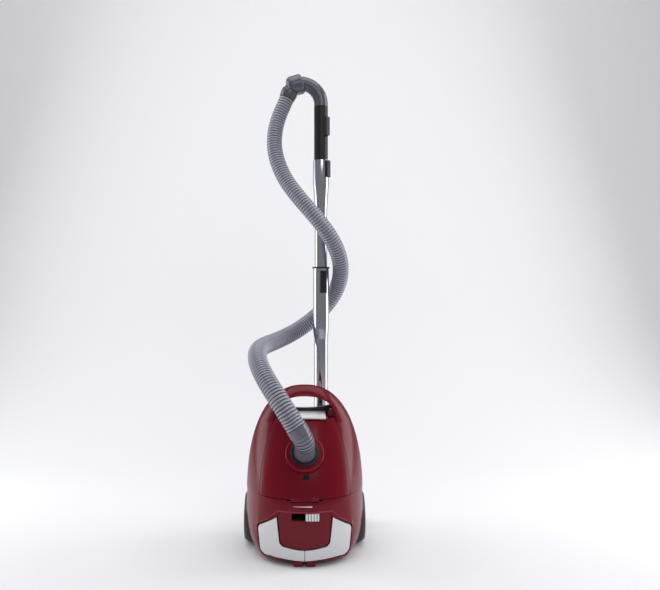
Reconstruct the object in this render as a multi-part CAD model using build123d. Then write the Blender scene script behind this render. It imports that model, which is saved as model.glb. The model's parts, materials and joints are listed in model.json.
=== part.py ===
"""Canister vacuum cleaner standing upright on its tail, with its wand parked behind it.

Millimetres. +Z is up, -Y is the lid side, +X is the right-hand side seen from the lid side.
The origin is on the floor, under the middle of the cleaner and its wand.
"""
from build123d import *
import math
import os

os.makedirs("parts", exist_ok=True)

# Body: outline seen from the lid side
BODY_TOP = 369.0
BODY_HALF_WIDTH = 129.5
WIDEST_Z = 120.0
TAIL_Z = 12.0
TAIL_HALF_WIDTH = 108.0
ARCH_POWER = 2.35
TAIL_POWER = 4.4

# Body: depth
FRONT_Y = -161.0
FRONT_Z = 115.0
NOSE_SETBACK = 64.0
NOSE_Z = 300.0
TAIL_SETBACK = 13.0
CREASE_SETBACK = 45.0
PARTING_Y = -36.0
WIDEST_Y = -44.0
UNDERSIDE_Y = 50.0
WALL = 3.0

# Side band, which runs up both sides and over the top as the carry handle
BAND = 31.0
BAND_TAIL = 18.0
BAND_TAIL_Z = 100.0
BAND_BULGE = 3.0
ARCH_Z = 290.0
OPENING_HALF_WIDTH = 70.0
OPENING_TOP = 345.0
BRIDGE_SETBACK = 14.0
CHEEK_X = 50.0
CHEEK_TOP = 320.0
ARCH_FRONT_Y = -64.0
ARCH_BACK_Y = -20.0
BAND_STEP = 4.0
RAIL_STEPS = 16
ARCH_STEPS = 22

# Lid
SEAM_Z = 143.0
SEAM_GAP = 0.7
LID_GAP = 0.8
LID_FLANGE = 6.0
LID_RIM_Z = 296.0
LID_RIM_RISE = 9.0
LID_PANEL_SEAM = 54.0
LID_PANEL_TOP = 42.0
LID_PANEL_STEP = 0.9
LID_OPEN = 60.0
HINGE_R = 5.5
HINGE_PIN_R = 2.0
HINGE_HALF = 22.0
HINGE_EAR = 7.0
HINGE_EAR_R = 4.6
HINGE_RELIEF_HALF = 29.9
HINGE_RELIEF = 1.7
HINGE_EASE_HALF = 36.5
HINGE_EASE_R = 2.9
FIT = 0.05
GAP = 0.3
SEAT = 0.1

# Pedals and slider on the tail deck
PEDAL_LOW_Z = 14.0
PEDAL_BAND_Z = 38.0
PEDAL_INNER_X = 54.0
PEDAL_TOP_IN_Z = 105.0
PEDAL_TOP_OUT_Z = 78.0
PEDAL_CORNER_Z = 52.0
PEDAL_PROUD = 2.0
PEDAL_DEPTH = 6.0
PEDAL_TRAVEL = 4.0
PEDAL_BACK_Y = -106.0
PEDAL_GAP = 2.4
PEDAL_SPLIT = 1.2
RIDGE_WIDTH = 5.0
SLOT_LEFT = -27.0
SLOT_RIGHT = 31.0
SLOT_LOW_Z = 101.0
SLOT_HIGH_Z = 116.0
KNOB_WIDTH = 28.0
KNOB_PROUD = 5.0

# Hose: points chosen by hand along its middle, from the handle's swivel to the inlet elbow
HOSE_ROUTE = [
    (-44, 110, 1052),
    (-72, 110, 988),
    (-76, 100, 923),
    (-54, 84, 858),
    (-16, 62, 803),
    (30, 54, 751),
    (71, 71, 696),
    (92, 106, 640),
    (82, 144, 581),
    (42, 161, 526),
    (-12, 144, 483),
    (-62, 100, 459),
    (-96, 39, 450),
    (-108, -29, 442),
    (-102, -92, 421),
    (-79, -143, 387),
    (-46, -173, 343),
    (-17, -178, 297),
]
HOSE_R_HANDLE = 18.6
HOSE_R_INLET = 21.8
HOSE_BORE_R = 15.0
RIB_PITCH = 6.5
RIB_DEPTH = 1.9
BORE_STEPS = 120

# Inlet in the lid
INLET_ELEVATION = 36.0
INLET_REACH = 63.0
COLLAR_R = 41.0
COLLAR_PROUD = 7.0
RING_R = 30.5
RING_BORE_R = 23.0
RING_PROUD = 9.5
ELBOW_R = 21.5
ELBOW_BEND_R = 26.0
ELBOW_RIBS = 6
ELBOW_GROOVE = 1.5
SWIVEL_COLLAR = 13.5

# Base shell and what is on the tail and the underside
BASE_TOP = 289.0
BASE_FRONT_Y = PARTING_Y + GAP
BASE_SIDE_TUCK = 26.0
BASE_TAIL_ROUND = 14.0
BASE_NOSE_ROUND = 26.0
NOSE_HALF = 60.0
NOSE_RIM_Z = 315.0
NOSE_RIM_RISE = 8.0
NOSE_DEPTH = 11.0
GRILLE_HALF = 45.0
GRILLE_LOW_Y = -8.0
GRILLE_HIGH_Y = 29.0
OUTLET_X = -60.0
OUTLET_Z = 45.0
OUTLET_R = 8.0
SCREWS = [(-80, 130), (80, 130), (-62, 222), (62, 222)]
SCREW_R = 4.0
JAW_IN = 3.0
JAW_OUT = 23.0
JAW_FRONT_Y = -146.0
JAW_BACK_Y = -112.0
PAD_T = 2.0
REAR_FOOT_X = 56.0
REAR_FOOT_Y = 22.0
REAR_FOOT_R = 10.0

# Wheels and caster
WHEEL_R = 56.0
WHEEL_Y = 14.0
WHEEL_OUT_X = 138.5
WHEEL_WIDTH = 24.0
WHEEL_LIFT = 2.0
WELL_GAP = 2.5
AXLE_R = 5.0
CASTER_Z = 246.0
CASTER_R = 10.0
CASTER_WIDTH = 14.0
CASTER_TRAIL = 9.0
CASTER_DROP = 10.0
CASTER_RECESS = 10.0
CASTER_SOCKET_R = 30.0
CASTER_STEM_R = 5.0

# Wand
TUBE_X = 40.0
TUBE_Y = 110.0
TUBE_R = 17.5
TUBE_WALL = 1.2
TUBE_LOW_Z = 92.0
SLEEVE_TOP = 634.0
SLEEVE_LOW = 488.0
SLEEVE_TAPER = 26.0
SLEEVE_R = 19.6
FLANGE_R = 21.2
FLANGE_H = 4.0
INNER_R = 15.6
INNER_WALL = 1.0
INNER_LOW_Z = 326.0
SOCKET_LOW = 842.0
SOCKET_TOP = 899.0
SOCKET_R = 20.0
SOCKET_TAPER = 58.0
HANDLE_R = 17.0
HANDLE_WALL = 2.5
GRIP_TOP = 1032.0
KNEE_R = 28.0
KNEE_TURN = math.radians(85)
KNUCKLE_R = 24.5
KNUCKLE_LEN = 40.0
KNUCKLE_DROP = math.radians(16)
KNUCKLE_ROUND = 14.0
SWIVEL_LEN = 22.0
SWIVEL_R = 20.6
SPIGOT_R = 15.2
BUTTON_LOW = 574.0
BUTTON_HIGH = 628.0
BUTTON_WIDTH = 17.0
BUTTON_PROUD = 4.5
BUTTON_TURN = 16.0
VALVE_LOW = 960.0
VALVE_HIGH = 1004.0
VALVE_PROUD = 6.0
VALVE_WIDTH = 17.0
VALVE_TURN = 50.0
LATCH_LOW = 857.0
LATCH_HIGH = 897.0
LATCH_PROUD = 5.5
LATCH_WIDTH = 15.0
LATCH_TURN = 50.0

# Floor nozzle
NOZZLE_HALF = 101.0
NOZZLE_HEEL = 20.0
NOZZLE_TOE = 58.0
NOZZLE_LIFT = 1.5
NOZZLE_PIVOT_Z = 36.0
NOZZLE_HEIGHT = 41.0
NOZZLE_TOE_H = 15.0
SOLE_T = 3.0
MOUTH_HALF = 80.0
NECK_R = 20.5
NECK_TOP = 122.0
NECK_BARREL_R = 15.0
NECK_BARREL_HALF = 22.0
HOOK_LOW = 74.0
HOOK_HIGH = 108.0
HOOK_HALF = 13.0
HOOK_STEM_HALF = 5.0
HOOK_T = 5.0
PARK_Y = 54.0
PARK_HALF = 18.0
NECK_BORE_R = 15.5
NECK_STEM_R = 16.5
NOZZLE_PIN_R = 3.0
ROCKER_HALF = 24.0
ROCKER_LENGTH = 24.0
ROCKER_T = 5.0
BRUSH_HALF = 84.0
ROLLER_X = 70.0
ROLL_Y = 101.0
ROLL_R = 5.0

# Insides
MOTOR_Y = -58.0
MOTOR_R = 44.0
FAN_R = 54.0
MOTOR_LOW = 34.0
FAN_LOW = 92.0
PARTITION_Z = 146.0
PARTITION_T = 4.0
PARTITION_EASE = 1.6
MOTOR_SEAL_T = 6.0
SHAFT_R = 4.0
REEL_Z = 84.0
REEL_R = 52.0
REEL_CORE_R = 22.0
REEL_LOW_Y = 8.0
REEL_HIGH_Y = 40.0
SPINDLE_R = 7.0
ROTOR_R = 30.0
PARTITION_FRONT = -138.0
BAG_SEAT = 28.0
BAG_HALF = 62.0
BAG_BACK_Y = 14.0
BAG_TOP = 270.0
HOLDER_HALF = 40.0
BOARD_HALF = 45.0
BOARD_Y = -138.0
BOARD_LOW = 48.0
BOARD_HIGH = 98.0
BOARD_BOSS_R = 3.5


def save(shape, name):
    """Writes one node, as loose solids where it has several."""
    solids = shape.solids()
    export_step(solids[0] if len(solids) == 1 else Compound(children=list(solids)), f"parts/{name}.step")


def spin(point, axis):
    """A plane at point whose Z runs along axis."""
    return Plane(origin=Vector(*point), z_dir=Vector(*axis))


def rod(a, b, r):
    """A round bar from a to b."""
    a = Vector(*a)
    b = Vector(*b)
    line = b - a
    return Plane(origin=a, z_dir=line) * Cylinder(r, line.length, align=(Align.CENTER, Align.CENTER,
        Align.MIN))


def block(x0, x1, y0, y1, z0, z1):
    """A box between two corners."""
    return Pos((x0 + x1) / 2, (y0 + y1) / 2, (z0 + z1) / 2) * Box(x1 - x0, y1 - y0, z1 - z0)


def tube(x, y, z0, z1, r_out, r_in):
    """An upright pipe."""
    return rod((x, y, z0), (x, y, z1), r_out) - rod((x, y, z0 - 1), (x, y, z1 + 1), r_in)


# The body's outline and depth as functions of height

def half_width(z):
    """Half the body's width: a superellipse above the widest height, a quick curve in to the tail below it."""
    if z >= WIDEST_Z:
        share = (z - WIDEST_Z) / (BODY_TOP - WIDEST_Z)
        return BODY_HALF_WIDTH * max(1 - share**ARCH_POWER, 0) ** (1 / ARCH_POWER)
    share = (WIDEST_Z - z) / (WIDEST_Z - TAIL_Z)
    return BODY_HALF_WIDTH - (BODY_HALF_WIDTH - TAIL_HALF_WIDTH) * share**TAIL_POWER


def front_y(z):
    """The lid side's middle line: straight up at the tail, leaning back towards the nose."""
    if z >= FRONT_Z:
        return FRONT_Y + NOSE_SETBACK * ((z - FRONT_Z) / (NOSE_Z - FRONT_Z)) ** 1.6
    return FRONT_Y + TAIL_SETBACK * ((FRONT_Z - z) / (FRONT_Z - TAIL_Z)) ** 3


def crease_x(z):
    """Half the width between the two creases where the side bands start."""
    if z >= SEAM_Z:
        top_band = half_width(ARCH_Z) - OPENING_HALF_WIDTH
        return half_width(z) - BAND - (top_band - BAND) * (z - SEAM_Z) / (ARCH_Z - SEAM_Z)
    if z >= BAND_TAIL_Z:
        return half_width(z) - BAND
    share = (BAND_TAIL_Z - z) / (BAND_TAIL_Z - TAIL_Z)
    return half_width(z) - BAND + (BAND - BAND_TAIL) * share


def crease_y(z):
    """How far back the crease lies: the front bows by the square of its half width."""
    return front_y(z) + CREASE_SETBACK * (crease_x(z) / crease_x(WIDEST_Z)) ** 2


def at_height(z):
    return Plane(origin=(0, 0, z))


def closed_face(plane, edges):
    """A face in a plane from edges drawn in that plane's own coordinates."""
    return plane * make_face(Wire(edges))


def facet_middle(x0, y0, x1, y1, bulge):
    """A point beside the middle of a facet, which gives the band its slight crown."""
    length = math.hypot(x1 - x0, y1 - y0)
    return ((x0 + x1) / 2 + bulge * (y1 - y0) / length, (y0 + y1) / 2 - bulge * (x1 - x0) / length)


def tail_section(z, inset):
    """The whole front half at one height: band, bowed front, band, closed across the back."""
    w = half_width(z) - inset * 1.15
    c = crease_x(z) - inset * 0.6
    y_crease = crease_y(z) + inset * 1.3
    y_mid = front_y(z) + inset
    y_wide = WIDEST_Y
    back = PARTING_Y + (1.0 if inset else 0.0)
    out = w - BAND_STEP
    mid_x, mid_y = facet_middle(c, y_crease, w, y_wide, BAND_BULGE)
    edges = [
        ThreePointArc((-c, y_crease), (0, y_mid), (c, y_crease)),
        ThreePointArc((c, y_crease), (mid_x, mid_y), (w, y_wide)),
        Line((w, y_wide), (out, back)),
        Line((out, back), (-out, back)),
        Line((-out, back), (-w, y_wide)),
        ThreePointArc((-w, y_wide), (-mid_x, mid_y), (-c, y_crease)),
    ]
    return closed_face(at_height(z), edges)


def front_section(z, margin, inset, flange):
    """The panel between the creases at one height, with side flanges that run back."""
    c = crease_x(z) - margin
    y_crease = front_y(z) + CREASE_SETBACK * (c / crease_x(WIDEST_Z)) ** 2 + inset * 1.2
    y_mid = front_y(z) + inset
    c = c - max(inset, 0)
    y_back = y_crease - inset * 1.2 + flange
    edges = [
        ThreePointArc((-c, y_crease), (0, y_mid), (c, y_crease)),
        Line((c, y_crease), (c, y_back)),
        Line((c, y_back), (-c, y_back)),
        Line((-c, y_back), (-c, y_crease)),
    ]
    return closed_face(at_height(z), edges)


def front_form(z_low, z_high, margin, inset, flange, steps):
    """A loft of the front panel between two heights."""
    heights = [z_low + (z_high - z_low) * i / steps for i in range(steps + 1)]
    return loft([front_section(z, margin, inset, flange) for z in heights])


# Side rails and the carry handle

def ray_outline(angle, half, low, rise, base, power):
    """Distance from (0, ARCH_Z) along a ray to a superellipse arch, found by halving."""
    near = 0.0
    far = 4 * half
    for _ in range(60):
        middle = (near + far) / 2
        x = middle * math.cos(angle)
        z = ARCH_Z + middle * math.sin(angle)
        if (x / half) ** power + (max(z - low, 0) / rise) ** power < 1:
            near = middle
        else:
            far = middle
    return near + base


def band_edges(inner, outer, y_crease, y_wide, y_back):
    """One section through the side band, drawn as distance outwards against depth."""
    mid_x, mid_y = facet_middle(inner, y_crease, outer, y_wide, BAND_BULGE)
    return [
        ThreePointArc((inner, y_crease), (mid_x, mid_y), (outer, y_wide)),
        Line((outer, y_wide), (outer - BAND_STEP, y_back)),
        Line((outer - BAND_STEP, y_back), (inner, y_back)),
        Line((inner, y_back), (inner, y_crease)),
    ]


def rail_section(z):
    return closed_face(at_height(z), band_edges(crease_x(z), half_width(z), crease_y(z), WIDEST_Y,
        PARTING_Y))


def arch_section(angle):
    """A section on a ray about (0, ARCH_Z); at angle 0 it is the rail's own section there."""
    outer = ray_outline(angle, BODY_HALF_WIDTH, WIDEST_Z, BODY_TOP - WIDEST_Z, 0, ARCH_POWER)
    inner = ray_outline(angle, OPENING_HALF_WIDTH, ARCH_Z, OPENING_TOP - ARCH_Z, 0, ARCH_POWER)
    share = math.sin(angle)
    y_crease = crease_y(ARCH_Z) + (ARCH_FRONT_Y - crease_y(ARCH_Z)) * share
    y_back = PARTING_Y + (ARCH_BACK_Y - PARTING_Y) * share
    plane = Plane(origin=(0, 0, ARCH_Z), x_dir=(math.cos(angle), 0, math.sin(angle)),
                  z_dir=(-math.sin(angle), 0, math.cos(angle)))
    return closed_face(plane, band_edges(inner, outer, y_crease, WIDEST_Y, y_back))


def rail_hollow(z, side):
    inner = crease_x(z) + WALL
    outer = half_width(z) - WALL * 1.3
    edges = band_edges(inner, outer, crease_y(z) + WALL * 2, WIDEST_Y - 1, PARTING_Y + 1)
    return closed_face(at_height(z), edges)


TAIL_TOP = SEAM_Z - SEAM_GAP / 2
rail_faces = [rail_section(TAIL_TOP + (ARCH_Z - TAIL_TOP) * i / RAIL_STEPS) for i in range(RAIL_STEPS + 1)]
arch_faces = [arch_section(math.radians(90 * i / ARCH_STEPS)) for i in range(1, ARCH_STEPS + 1)]
right_rail = loft(rail_faces + arch_faces, ruled=True)
right_rail -= loft([rail_hollow(z, 1) for z in (SEAM_Z - 1, 185, 225, 260, ARCH_Z - 12)])
rails = right_rail + mirror(right_rail, about=Plane.YZ)
above_rails = block(-200, 200, FRONT_Y, 60, ARCH_Z, BODY_TOP + 20)
carry_handle = rails & above_rails
rails -= above_rails

TAIL_HEIGHTS = [TAIL_Z, 17, 24, 34, 50, 75, 105, TAIL_TOP]
tail = loft([tail_section(z, 0) for z in TAIL_HEIGHTS])
tail_hollow = loft([tail_section(z, WALL) for z in (TAIL_Z + WALL, 24, 34, 50, 75, 105, SEAM_Z + 1)])
tail -= tail_hollow

# Lid hinge line, just inside the deck's front at the seam
HINGE_Y = front_y(SEAM_Z) + HINGE_R
hinge_clear = rod((-HINGE_RELIEF_HALF, HINGE_Y, SEAM_Z), (HINGE_RELIEF_HALF, HINGE_Y, SEAM_Z),
    HINGE_R + HINGE_RELIEF)


def hinge_ear(x0, x1):
    """A round ear behind the deck that holds one end of the lid's hinge pin."""
    ear = rod((x0, HINGE_Y, SEAM_Z), (x1, HINGE_Y, SEAM_Z), HINGE_EAR_R)
    ear += block(x0, x1, HINGE_Y - 1, HINGE_Y + 6, SEAM_Z - 16, SEAM_Z - 1)
    return ear


EAR_IN = HINGE_HALF + GAP
EAR_OUT = EAR_IN + HINGE_EAR


def pedal_outline(grow):
    """The right-hand pedal, seen from the front: a foot band along the tail and an arm up the side."""
    low = PEDAL_LOW_Z - grow
    split = PEDAL_SPLIT / 2 - grow
    outer_low = crease_x(PEDAL_LOW_Z + 12) - PEDAL_GAP + grow
    outer_top = crease_x(PEDAL_TOP_OUT_Z) - PEDAL_GAP + grow
    inner = PEDAL_INNER_X - grow
    bend = PEDAL_BAND_Z + 5 + grow
    edges = [
        Line((split, low), (outer_low - 20, low + 5)),
        ThreePointArc((outer_low - 20, low + 5), (outer_low - 5, low + 8), (outer_low, low + 17)),
        Line((outer_low, low + 17), (outer_top, PEDAL_TOP_OUT_Z - 5)),
        ThreePointArc((outer_top, PEDAL_TOP_OUT_Z - 5), (outer_top - 1.5, PEDAL_TOP_OUT_Z + grow),
                      (outer_top - 7, PEDAL_TOP_OUT_Z + 5 + grow * 1.2)),
        Line((outer_top - 7, PEDAL_TOP_OUT_Z + 5 + grow * 1.2), (inner + 5, PEDAL_TOP_IN_Z + grow * 1.2)),
        Line((inner + 5, PEDAL_TOP_IN_Z + grow * 1.2), (inner, PEDAL_CORNER_Z + 6)),
        ThreePointArc((inner, PEDAL_CORNER_Z + 6), (inner - 5, bend + 3.5), (inner - 16, bend)),
        ThreePointArc((inner - 16, bend), (inner / 2 - 8, bend - 3.5), (split, PEDAL_BAND_Z + grow)),
        Line((split, PEDAL_BAND_Z + grow), (split, low)),
    ]
    return make_face(Wire(edges))


def front_prism(face, y_low, y_high):
    """A face drawn in X and Z, pushed through from y_low to y_high."""
    plane = Plane(origin=(0, y_high, 0), x_dir=(1, 0, 0), z_dir=(0, -1, 0))
    return plane * extrude(face, y_high - y_low)


def deck_layer(outside, inside):
    """A layer of the tail deck between two depths, measured inwards from its front."""
    low = TAIL_Z + 0.5
    high = SEAM_Z - SEAM_GAP
    outer = front_form(low, high, -1.0, outside, 60, 7)
    return outer - front_form(low - 1, high + 1, -2.0, inside, 62, 7)


pedal_prism = front_prism(pedal_outline(0), FRONT_Y - 20, -60)
pedal_hole = front_prism(pedal_outline(PEDAL_GAP), FRONT_Y - 20, -60)
pedal_layer = deck_layer(-PEDAL_PROUD, PEDAL_DEPTH)
right_pedal = pedal_prism & pedal_layer & block(-200, 200, FRONT_Y - 30, PEDAL_BACK_Y, 0, SEAM_Z)
left_pedal = mirror(right_pedal, about=Plane.YZ)

# A short stem behind each pedal, and the guide that it slides in
STEM_X = (PEDAL_INNER_X + crease_x(PEDAL_TOP_OUT_Z)) / 2
STEM_Z = (PEDAL_CORNER_Z + PEDAL_TOP_OUT_Z) / 2
STEM_R = 5.0
STEM_FRONT = front_y(STEM_Z) + CREASE_SETBACK * (STEM_X / crease_x(WIDEST_Z)) ** 2 + PEDAL_DEPTH - 2
STEM_BACK = STEM_FRONT + 42
GUIDE_R = STEM_R + 3.0


def stem(x):
    return rod((x, STEM_FRONT, STEM_Z), (x, STEM_BACK, STEM_Z), STEM_R)


right_pedal += stem(STEM_X)
left_pedal += stem(-STEM_X)


def ridge_face():
    """The raised lip above a pedal's arm."""
    outer = crease_x(PEDAL_TOP_OUT_Z) - 1
    inner = PEDAL_INNER_X + 2
    low = PEDAL_TOP_OUT_Z + 5 + PEDAL_GAP * 1.6
    high = PEDAL_TOP_IN_Z + PEDAL_GAP * 1.6
    return make_face(Polyline((inner, high), (outer, low - 4), (outer, low - 4 + RIDGE_WIDTH),
        (inner, high + RIDGE_WIDTH),
                              close=True))


right_ridge = front_prism(ridge_face(), FRONT_Y - 20, -60) & deck_layer(-1.8, WALL - 0.5)
ridges = right_ridge + mirror(right_ridge, about=Plane.YZ)

tail += ridges
pedal_hole = pedal_hole & deck_layer(-PEDAL_PROUD - 3, PEDAL_DEPTH + PEDAL_TRAVEL + 1)
tail -= pedal_hole + mirror(pedal_hole, about=Plane.YZ)
slot_z = (SLOT_LOW_Z + SLOT_HIGH_Z) / 2
tail -= block(SLOT_LEFT, SLOT_RIGHT, FRONT_Y - 20, FRONT_Y + 20, SLOT_LOW_Z, SLOT_HIGH_Z)
STEP_Z = SLOT_LOW_Z - 5.0
tail -= block(-PEDAL_INNER_X + 4, PEDAL_INNER_X - 4, FRONT_Y - 5, FRONT_Y + 1.0, STEP_Z - 1.2, STEP_Z)
tail -= hinge_clear
tail -= rod((-HINGE_EASE_HALF, HINGE_Y, SEAM_Z), (HINGE_EASE_HALF, HINGE_Y, SEAM_Z), HINGE_EASE_R)
for side in (-1, 1):
    x0, x1 = sorted((side * EAR_IN, side * EAR_OUT))
    tail += hinge_ear(x0, x1)
tail -= rod((-EAR_OUT - 1, HINGE_Y, SEAM_Z), (EAR_OUT + 1, HINGE_Y, SEAM_Z), HINGE_PIN_R)

# A floor inside the deck that carries the pedal guides
GUIDE_FRONT = STEM_FRONT + 28
for side in (-1, 1):
    guide = rod((side * STEM_X, GUIDE_FRONT, STEM_Z), (side * STEM_X, GUIDE_FRONT + 12, STEM_Z), GUIDE_R)
    arm_out = side * (half_width(STEM_Z) - 1)
    x0, x1 = sorted((side * STEM_X, arm_out))
    guide += block(x0, x1, GUIDE_FRONT + 3, GUIDE_FRONT + 9, STEM_Z - 4, STEM_Z + 4)
    guide = guide & (tail_hollow + tail)
    guide -= rod((side * STEM_X, GUIDE_FRONT - 1, STEM_Z), (side * STEM_X, GUIDE_FRONT + 13, STEM_Z),
        STEM_R + GAP)
    tail += guide

# Bosses for the control board
for x in (7 - BOARD_HALF, BOARD_HALF - 7):
    for z in (BOARD_LOW + 10, BOARD_HIGH - 8):
        tail += rod((x, BOARD_Y - 18, z), (x, BOARD_Y, z), BOARD_BOSS_R) & (tail_hollow + tail)

# A cross wall at the nose that joins the rails and catches the latch
BRIDGE_FRONT = crease_y(ARCH_Z) + BRIDGE_SETBACK
BRIDGE_LOW = ARCH_Z - 8
bridge = block(-crease_x(BRIDGE_LOW) - WALL / 2, crease_x(BRIDGE_LOW) + WALL / 2, BRIDGE_FRONT,
    PARTING_Y, BRIDGE_LOW,
               BRIDGE_LOW + WALL)
wheel_z = WHEEL_R + WHEEL_LIFT
wells = rod((WHEEL_OUT_X - WHEEL_WIDTH - 2, WHEEL_Y, wheel_z), (BODY_HALF_WIDTH + 20, WHEEL_Y, wheel_z),
    WHEEL_R + WELL_GAP)
wells += mirror(wells, about=Plane.YZ)

# Cheeks that close the corners beside the latch
cheek_face = make_face(Polyline((CHEEK_X, BRIDGE_LOW), (CHEEK_X, CHEEK_TOP - 10), (CHEEK_X + 4, CHEEK_TOP - 3),
                                (CHEEK_X + 18, CHEEK_TOP), (CHEEK_X + 24, ARCH_Z), (CHEEK_X + 24, BRIDGE_LOW),
                                close=True))
right_cheek = front_prism(cheek_face, BRIDGE_FRONT, PARTING_Y) - carry_handle
cheeks = right_cheek + mirror(right_cheek, about=Plane.YZ)
housing = tail + rails + bridge + cheeks - wells
save(carry_handle, "carry_handle")
save(housing, "housing")
save(left_pedal, "switch_pedal")
save(right_pedal, "rewind_pedal")

# Power slider: a white knob in the slot with a plate behind the deck
KNOB_X = SLOT_RIGHT - KNOB_WIDTH / 2 - 1.0
DECK_Y = front_y(slot_z)
knob = block(KNOB_X - KNOB_WIDTH / 2, KNOB_X + KNOB_WIDTH / 2, DECK_Y - KNOB_PROUD + 1.5,
    DECK_Y + WALL + 5.0,
             SLOT_LOW_Z + GAP, SLOT_HIGH_Z - GAP)
knob = fillet(knob.edges().filter_by(Axis.Y), 2.0)
knob = fillet(knob.faces().sort_by(Axis.Y)[0].edges(), 1.5)
knob += block(KNOB_X - 15, KNOB_X + 8, DECK_Y + WALL + 4, DECK_Y + WALL + 6.5, SLOT_LOW_Z - 4,
              SLOT_HIGH_Z + 3)
save(knob, "power_slider")

# Lid: the front panel between the creases, with a raised middle and the inlet's collar
HOSE_END = Vector(*HOSE_ROUTE[-1])
HOSE_OUT = (Vector(*HOSE_ROUTE[-2]) - HOSE_END).normalized()
inlet_tilt = math.radians(INLET_ELEVATION)
INLET_AXIS = Vector(0, -math.cos(inlet_tilt), math.sin(inlet_tilt))
ELBOW_CORNER = HOSE_END - HOSE_OUT * (HOSE_END.X / HOSE_OUT.X)
INLET = ELBOW_CORNER - INLET_AXIS * INLET_REACH


def along_inlet(distance):
    return INLET + INLET_AXIS * distance


def lid_below(rim_z):
    """Everything under the lid's smile-shaped rim."""
    half = crease_x(LID_RIM_Z) + 20
    edges = [
        ThreePointArc((-half, rim_z + LID_RIM_RISE), (0, rim_z), (half, rim_z + LID_RIM_RISE)),
        Line((half, rim_z + LID_RIM_RISE), (half + 60, SEAM_Z - 20)),
        Line((half + 60, SEAM_Z - 20), (-half - 60, SEAM_Z - 20)),
        Line((-half - 60, SEAM_Z - 20), (-half, rim_z + LID_RIM_RISE)),
    ]
    return front_prism(make_face(Wire(edges)), FRONT_Y - 30, 60)


LID_LOW = SEAM_Z + SEAM_GAP / 2
LID_HIGH = LID_RIM_Z + LID_RIM_RISE
lid = front_form(LID_LOW, LID_HIGH, LID_GAP, 0, LID_FLANGE, 6) & lid_below(LID_RIM_Z)
panel = make_face(Polyline((-LID_PANEL_SEAM, LID_LOW + 2), (LID_PANEL_SEAM, LID_LOW + 2),
    (LID_PANEL_TOP, LID_RIM_Z - 2),
                           (-LID_PANEL_TOP, LID_RIM_Z - 2), close=True))
raised = front_form(LID_LOW, LID_HIGH, LID_GAP, -LID_PANEL_STEP, LID_FLANGE, 6)
lid += front_prism(panel, FRONT_Y - 30, crease_y(ARCH_Z)) & raised
lid_inside = front_form(LID_LOW - 1, LID_HIGH, LID_GAP, WALL, LID_FLANGE + 1,
    6) & lid_below(LID_RIM_Z - WALL)
lid -= lid_inside
collar = rod(along_inlet(-30), along_inlet(COLLAR_PROUD), COLLAR_R)
collar = fillet(collar.edges().sort_by(Axis.Z)[-1], 3.0)
behind_lid = front_form(LID_LOW, LID_HIGH, LID_GAP, WALL - 0.5, LID_FLANGE + 60, 6)
lid += collar - behind_lid
lid += rod(along_inlet(-26), along_inlet(-4), RING_R + WALL)
lid -= rod(along_inlet(-40), along_inlet(COLLAR_PROUD + 5), RING_R)
barrel = rod((-HINGE_HALF, HINGE_Y, SEAM_Z), (HINGE_HALF, HINGE_Y, SEAM_Z), HINGE_R)
barrel += block(-HINGE_HALF, HINGE_HALF, HINGE_Y, HINGE_Y + 4, SEAM_Z, SEAM_Z + 10)
lid -= rod((-EAR_OUT - GAP, HINGE_Y, SEAM_Z), (EAR_OUT + GAP, HINGE_Y, SEAM_Z), HINGE_EAR_R + 0.6)
lid += barrel
lid -= rod((-HINGE_HALF - 1, HINGE_Y, SEAM_Z), (HINGE_HALF + 1, HINGE_Y, SEAM_Z), HINGE_PIN_R + FIT)

# Bag-full window, set in the lid below the inlet
WINDOW_Z = 188.0
WINDOW_X = 3.0
WINDOW_W = 12.0
WINDOW_H = 10.0
WINDOW_Y = front_y(WINDOW_Z)
window = block(WINDOW_X - WINDOW_W / 2, WINDOW_X + WINDOW_W / 2, WINDOW_Y - 6, WINDOW_Y + 8,
    WINDOW_Z - WINDOW_H / 2,
               WINDOW_Z + WINDOW_H / 2)
bag_window = window & (front_form(LID_LOW, LID_HIGH, LID_GAP, -LID_PANEL_STEP + 0.4, LID_FLANGE, 6)
                       - front_form(LID_LOW - 1, LID_HIGH + 1, LID_GAP - 1, WALL, LID_FLANGE + 2, 6))
lid -= window

# Latch: a plate on the lid's rim that turns up about its front edge
LATCH_HALF = 46.0
LATCH_PIN_Y = front_y(LID_RIM_Z) + 9
LATCH_PIN_Z = LID_RIM_Z + 5.5
LATCH_PIN_R = 1.8
LATCH_BACK = PARTING_Y - 6
LATCH_T = 5.0
LATCH_RISE = 7.0
LATCH_EAR = 4.0
latch_tilt = math.radians(LATCH_RISE)
latch_plane = Plane(origin=(0, LATCH_PIN_Y, LATCH_PIN_Z), x_dir=(1, 0, 0),
                    z_dir=(0, -math.sin(latch_tilt), math.cos(latch_tilt)))
latch_length = (LATCH_BACK - LATCH_PIN_Y) / math.cos(latch_tilt)
latch = Pos(0, latch_length / 2, 0) * Box(LATCH_HALF * 2, latch_length, LATCH_T)
latch = fillet(latch.edges().filter_by(Axis.Z), 4.0)
latch = fillet(latch.faces().sort_by(Axis.Z)[-1].edges(), 1.5)
latch = latch_plane * latch
latch += rod((-LATCH_HALF, LATCH_PIN_Y, LATCH_PIN_Z), (LATCH_HALF, LATCH_PIN_Y, LATCH_PIN_Z), LATCH_T / 2)
latch += block(-10, 10, BRIDGE_FRONT + 8, BRIDGE_FRONT + 11, BRIDGE_LOW + WALL + GAP, LATCH_PIN_Z + 3)
latch += rod((-LATCH_HALF - LATCH_EAR, LATCH_PIN_Y, LATCH_PIN_Z), (LATCH_HALF + LATCH_EAR, LATCH_PIN_Y,
    LATCH_PIN_Z),
             LATCH_PIN_R)
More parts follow.
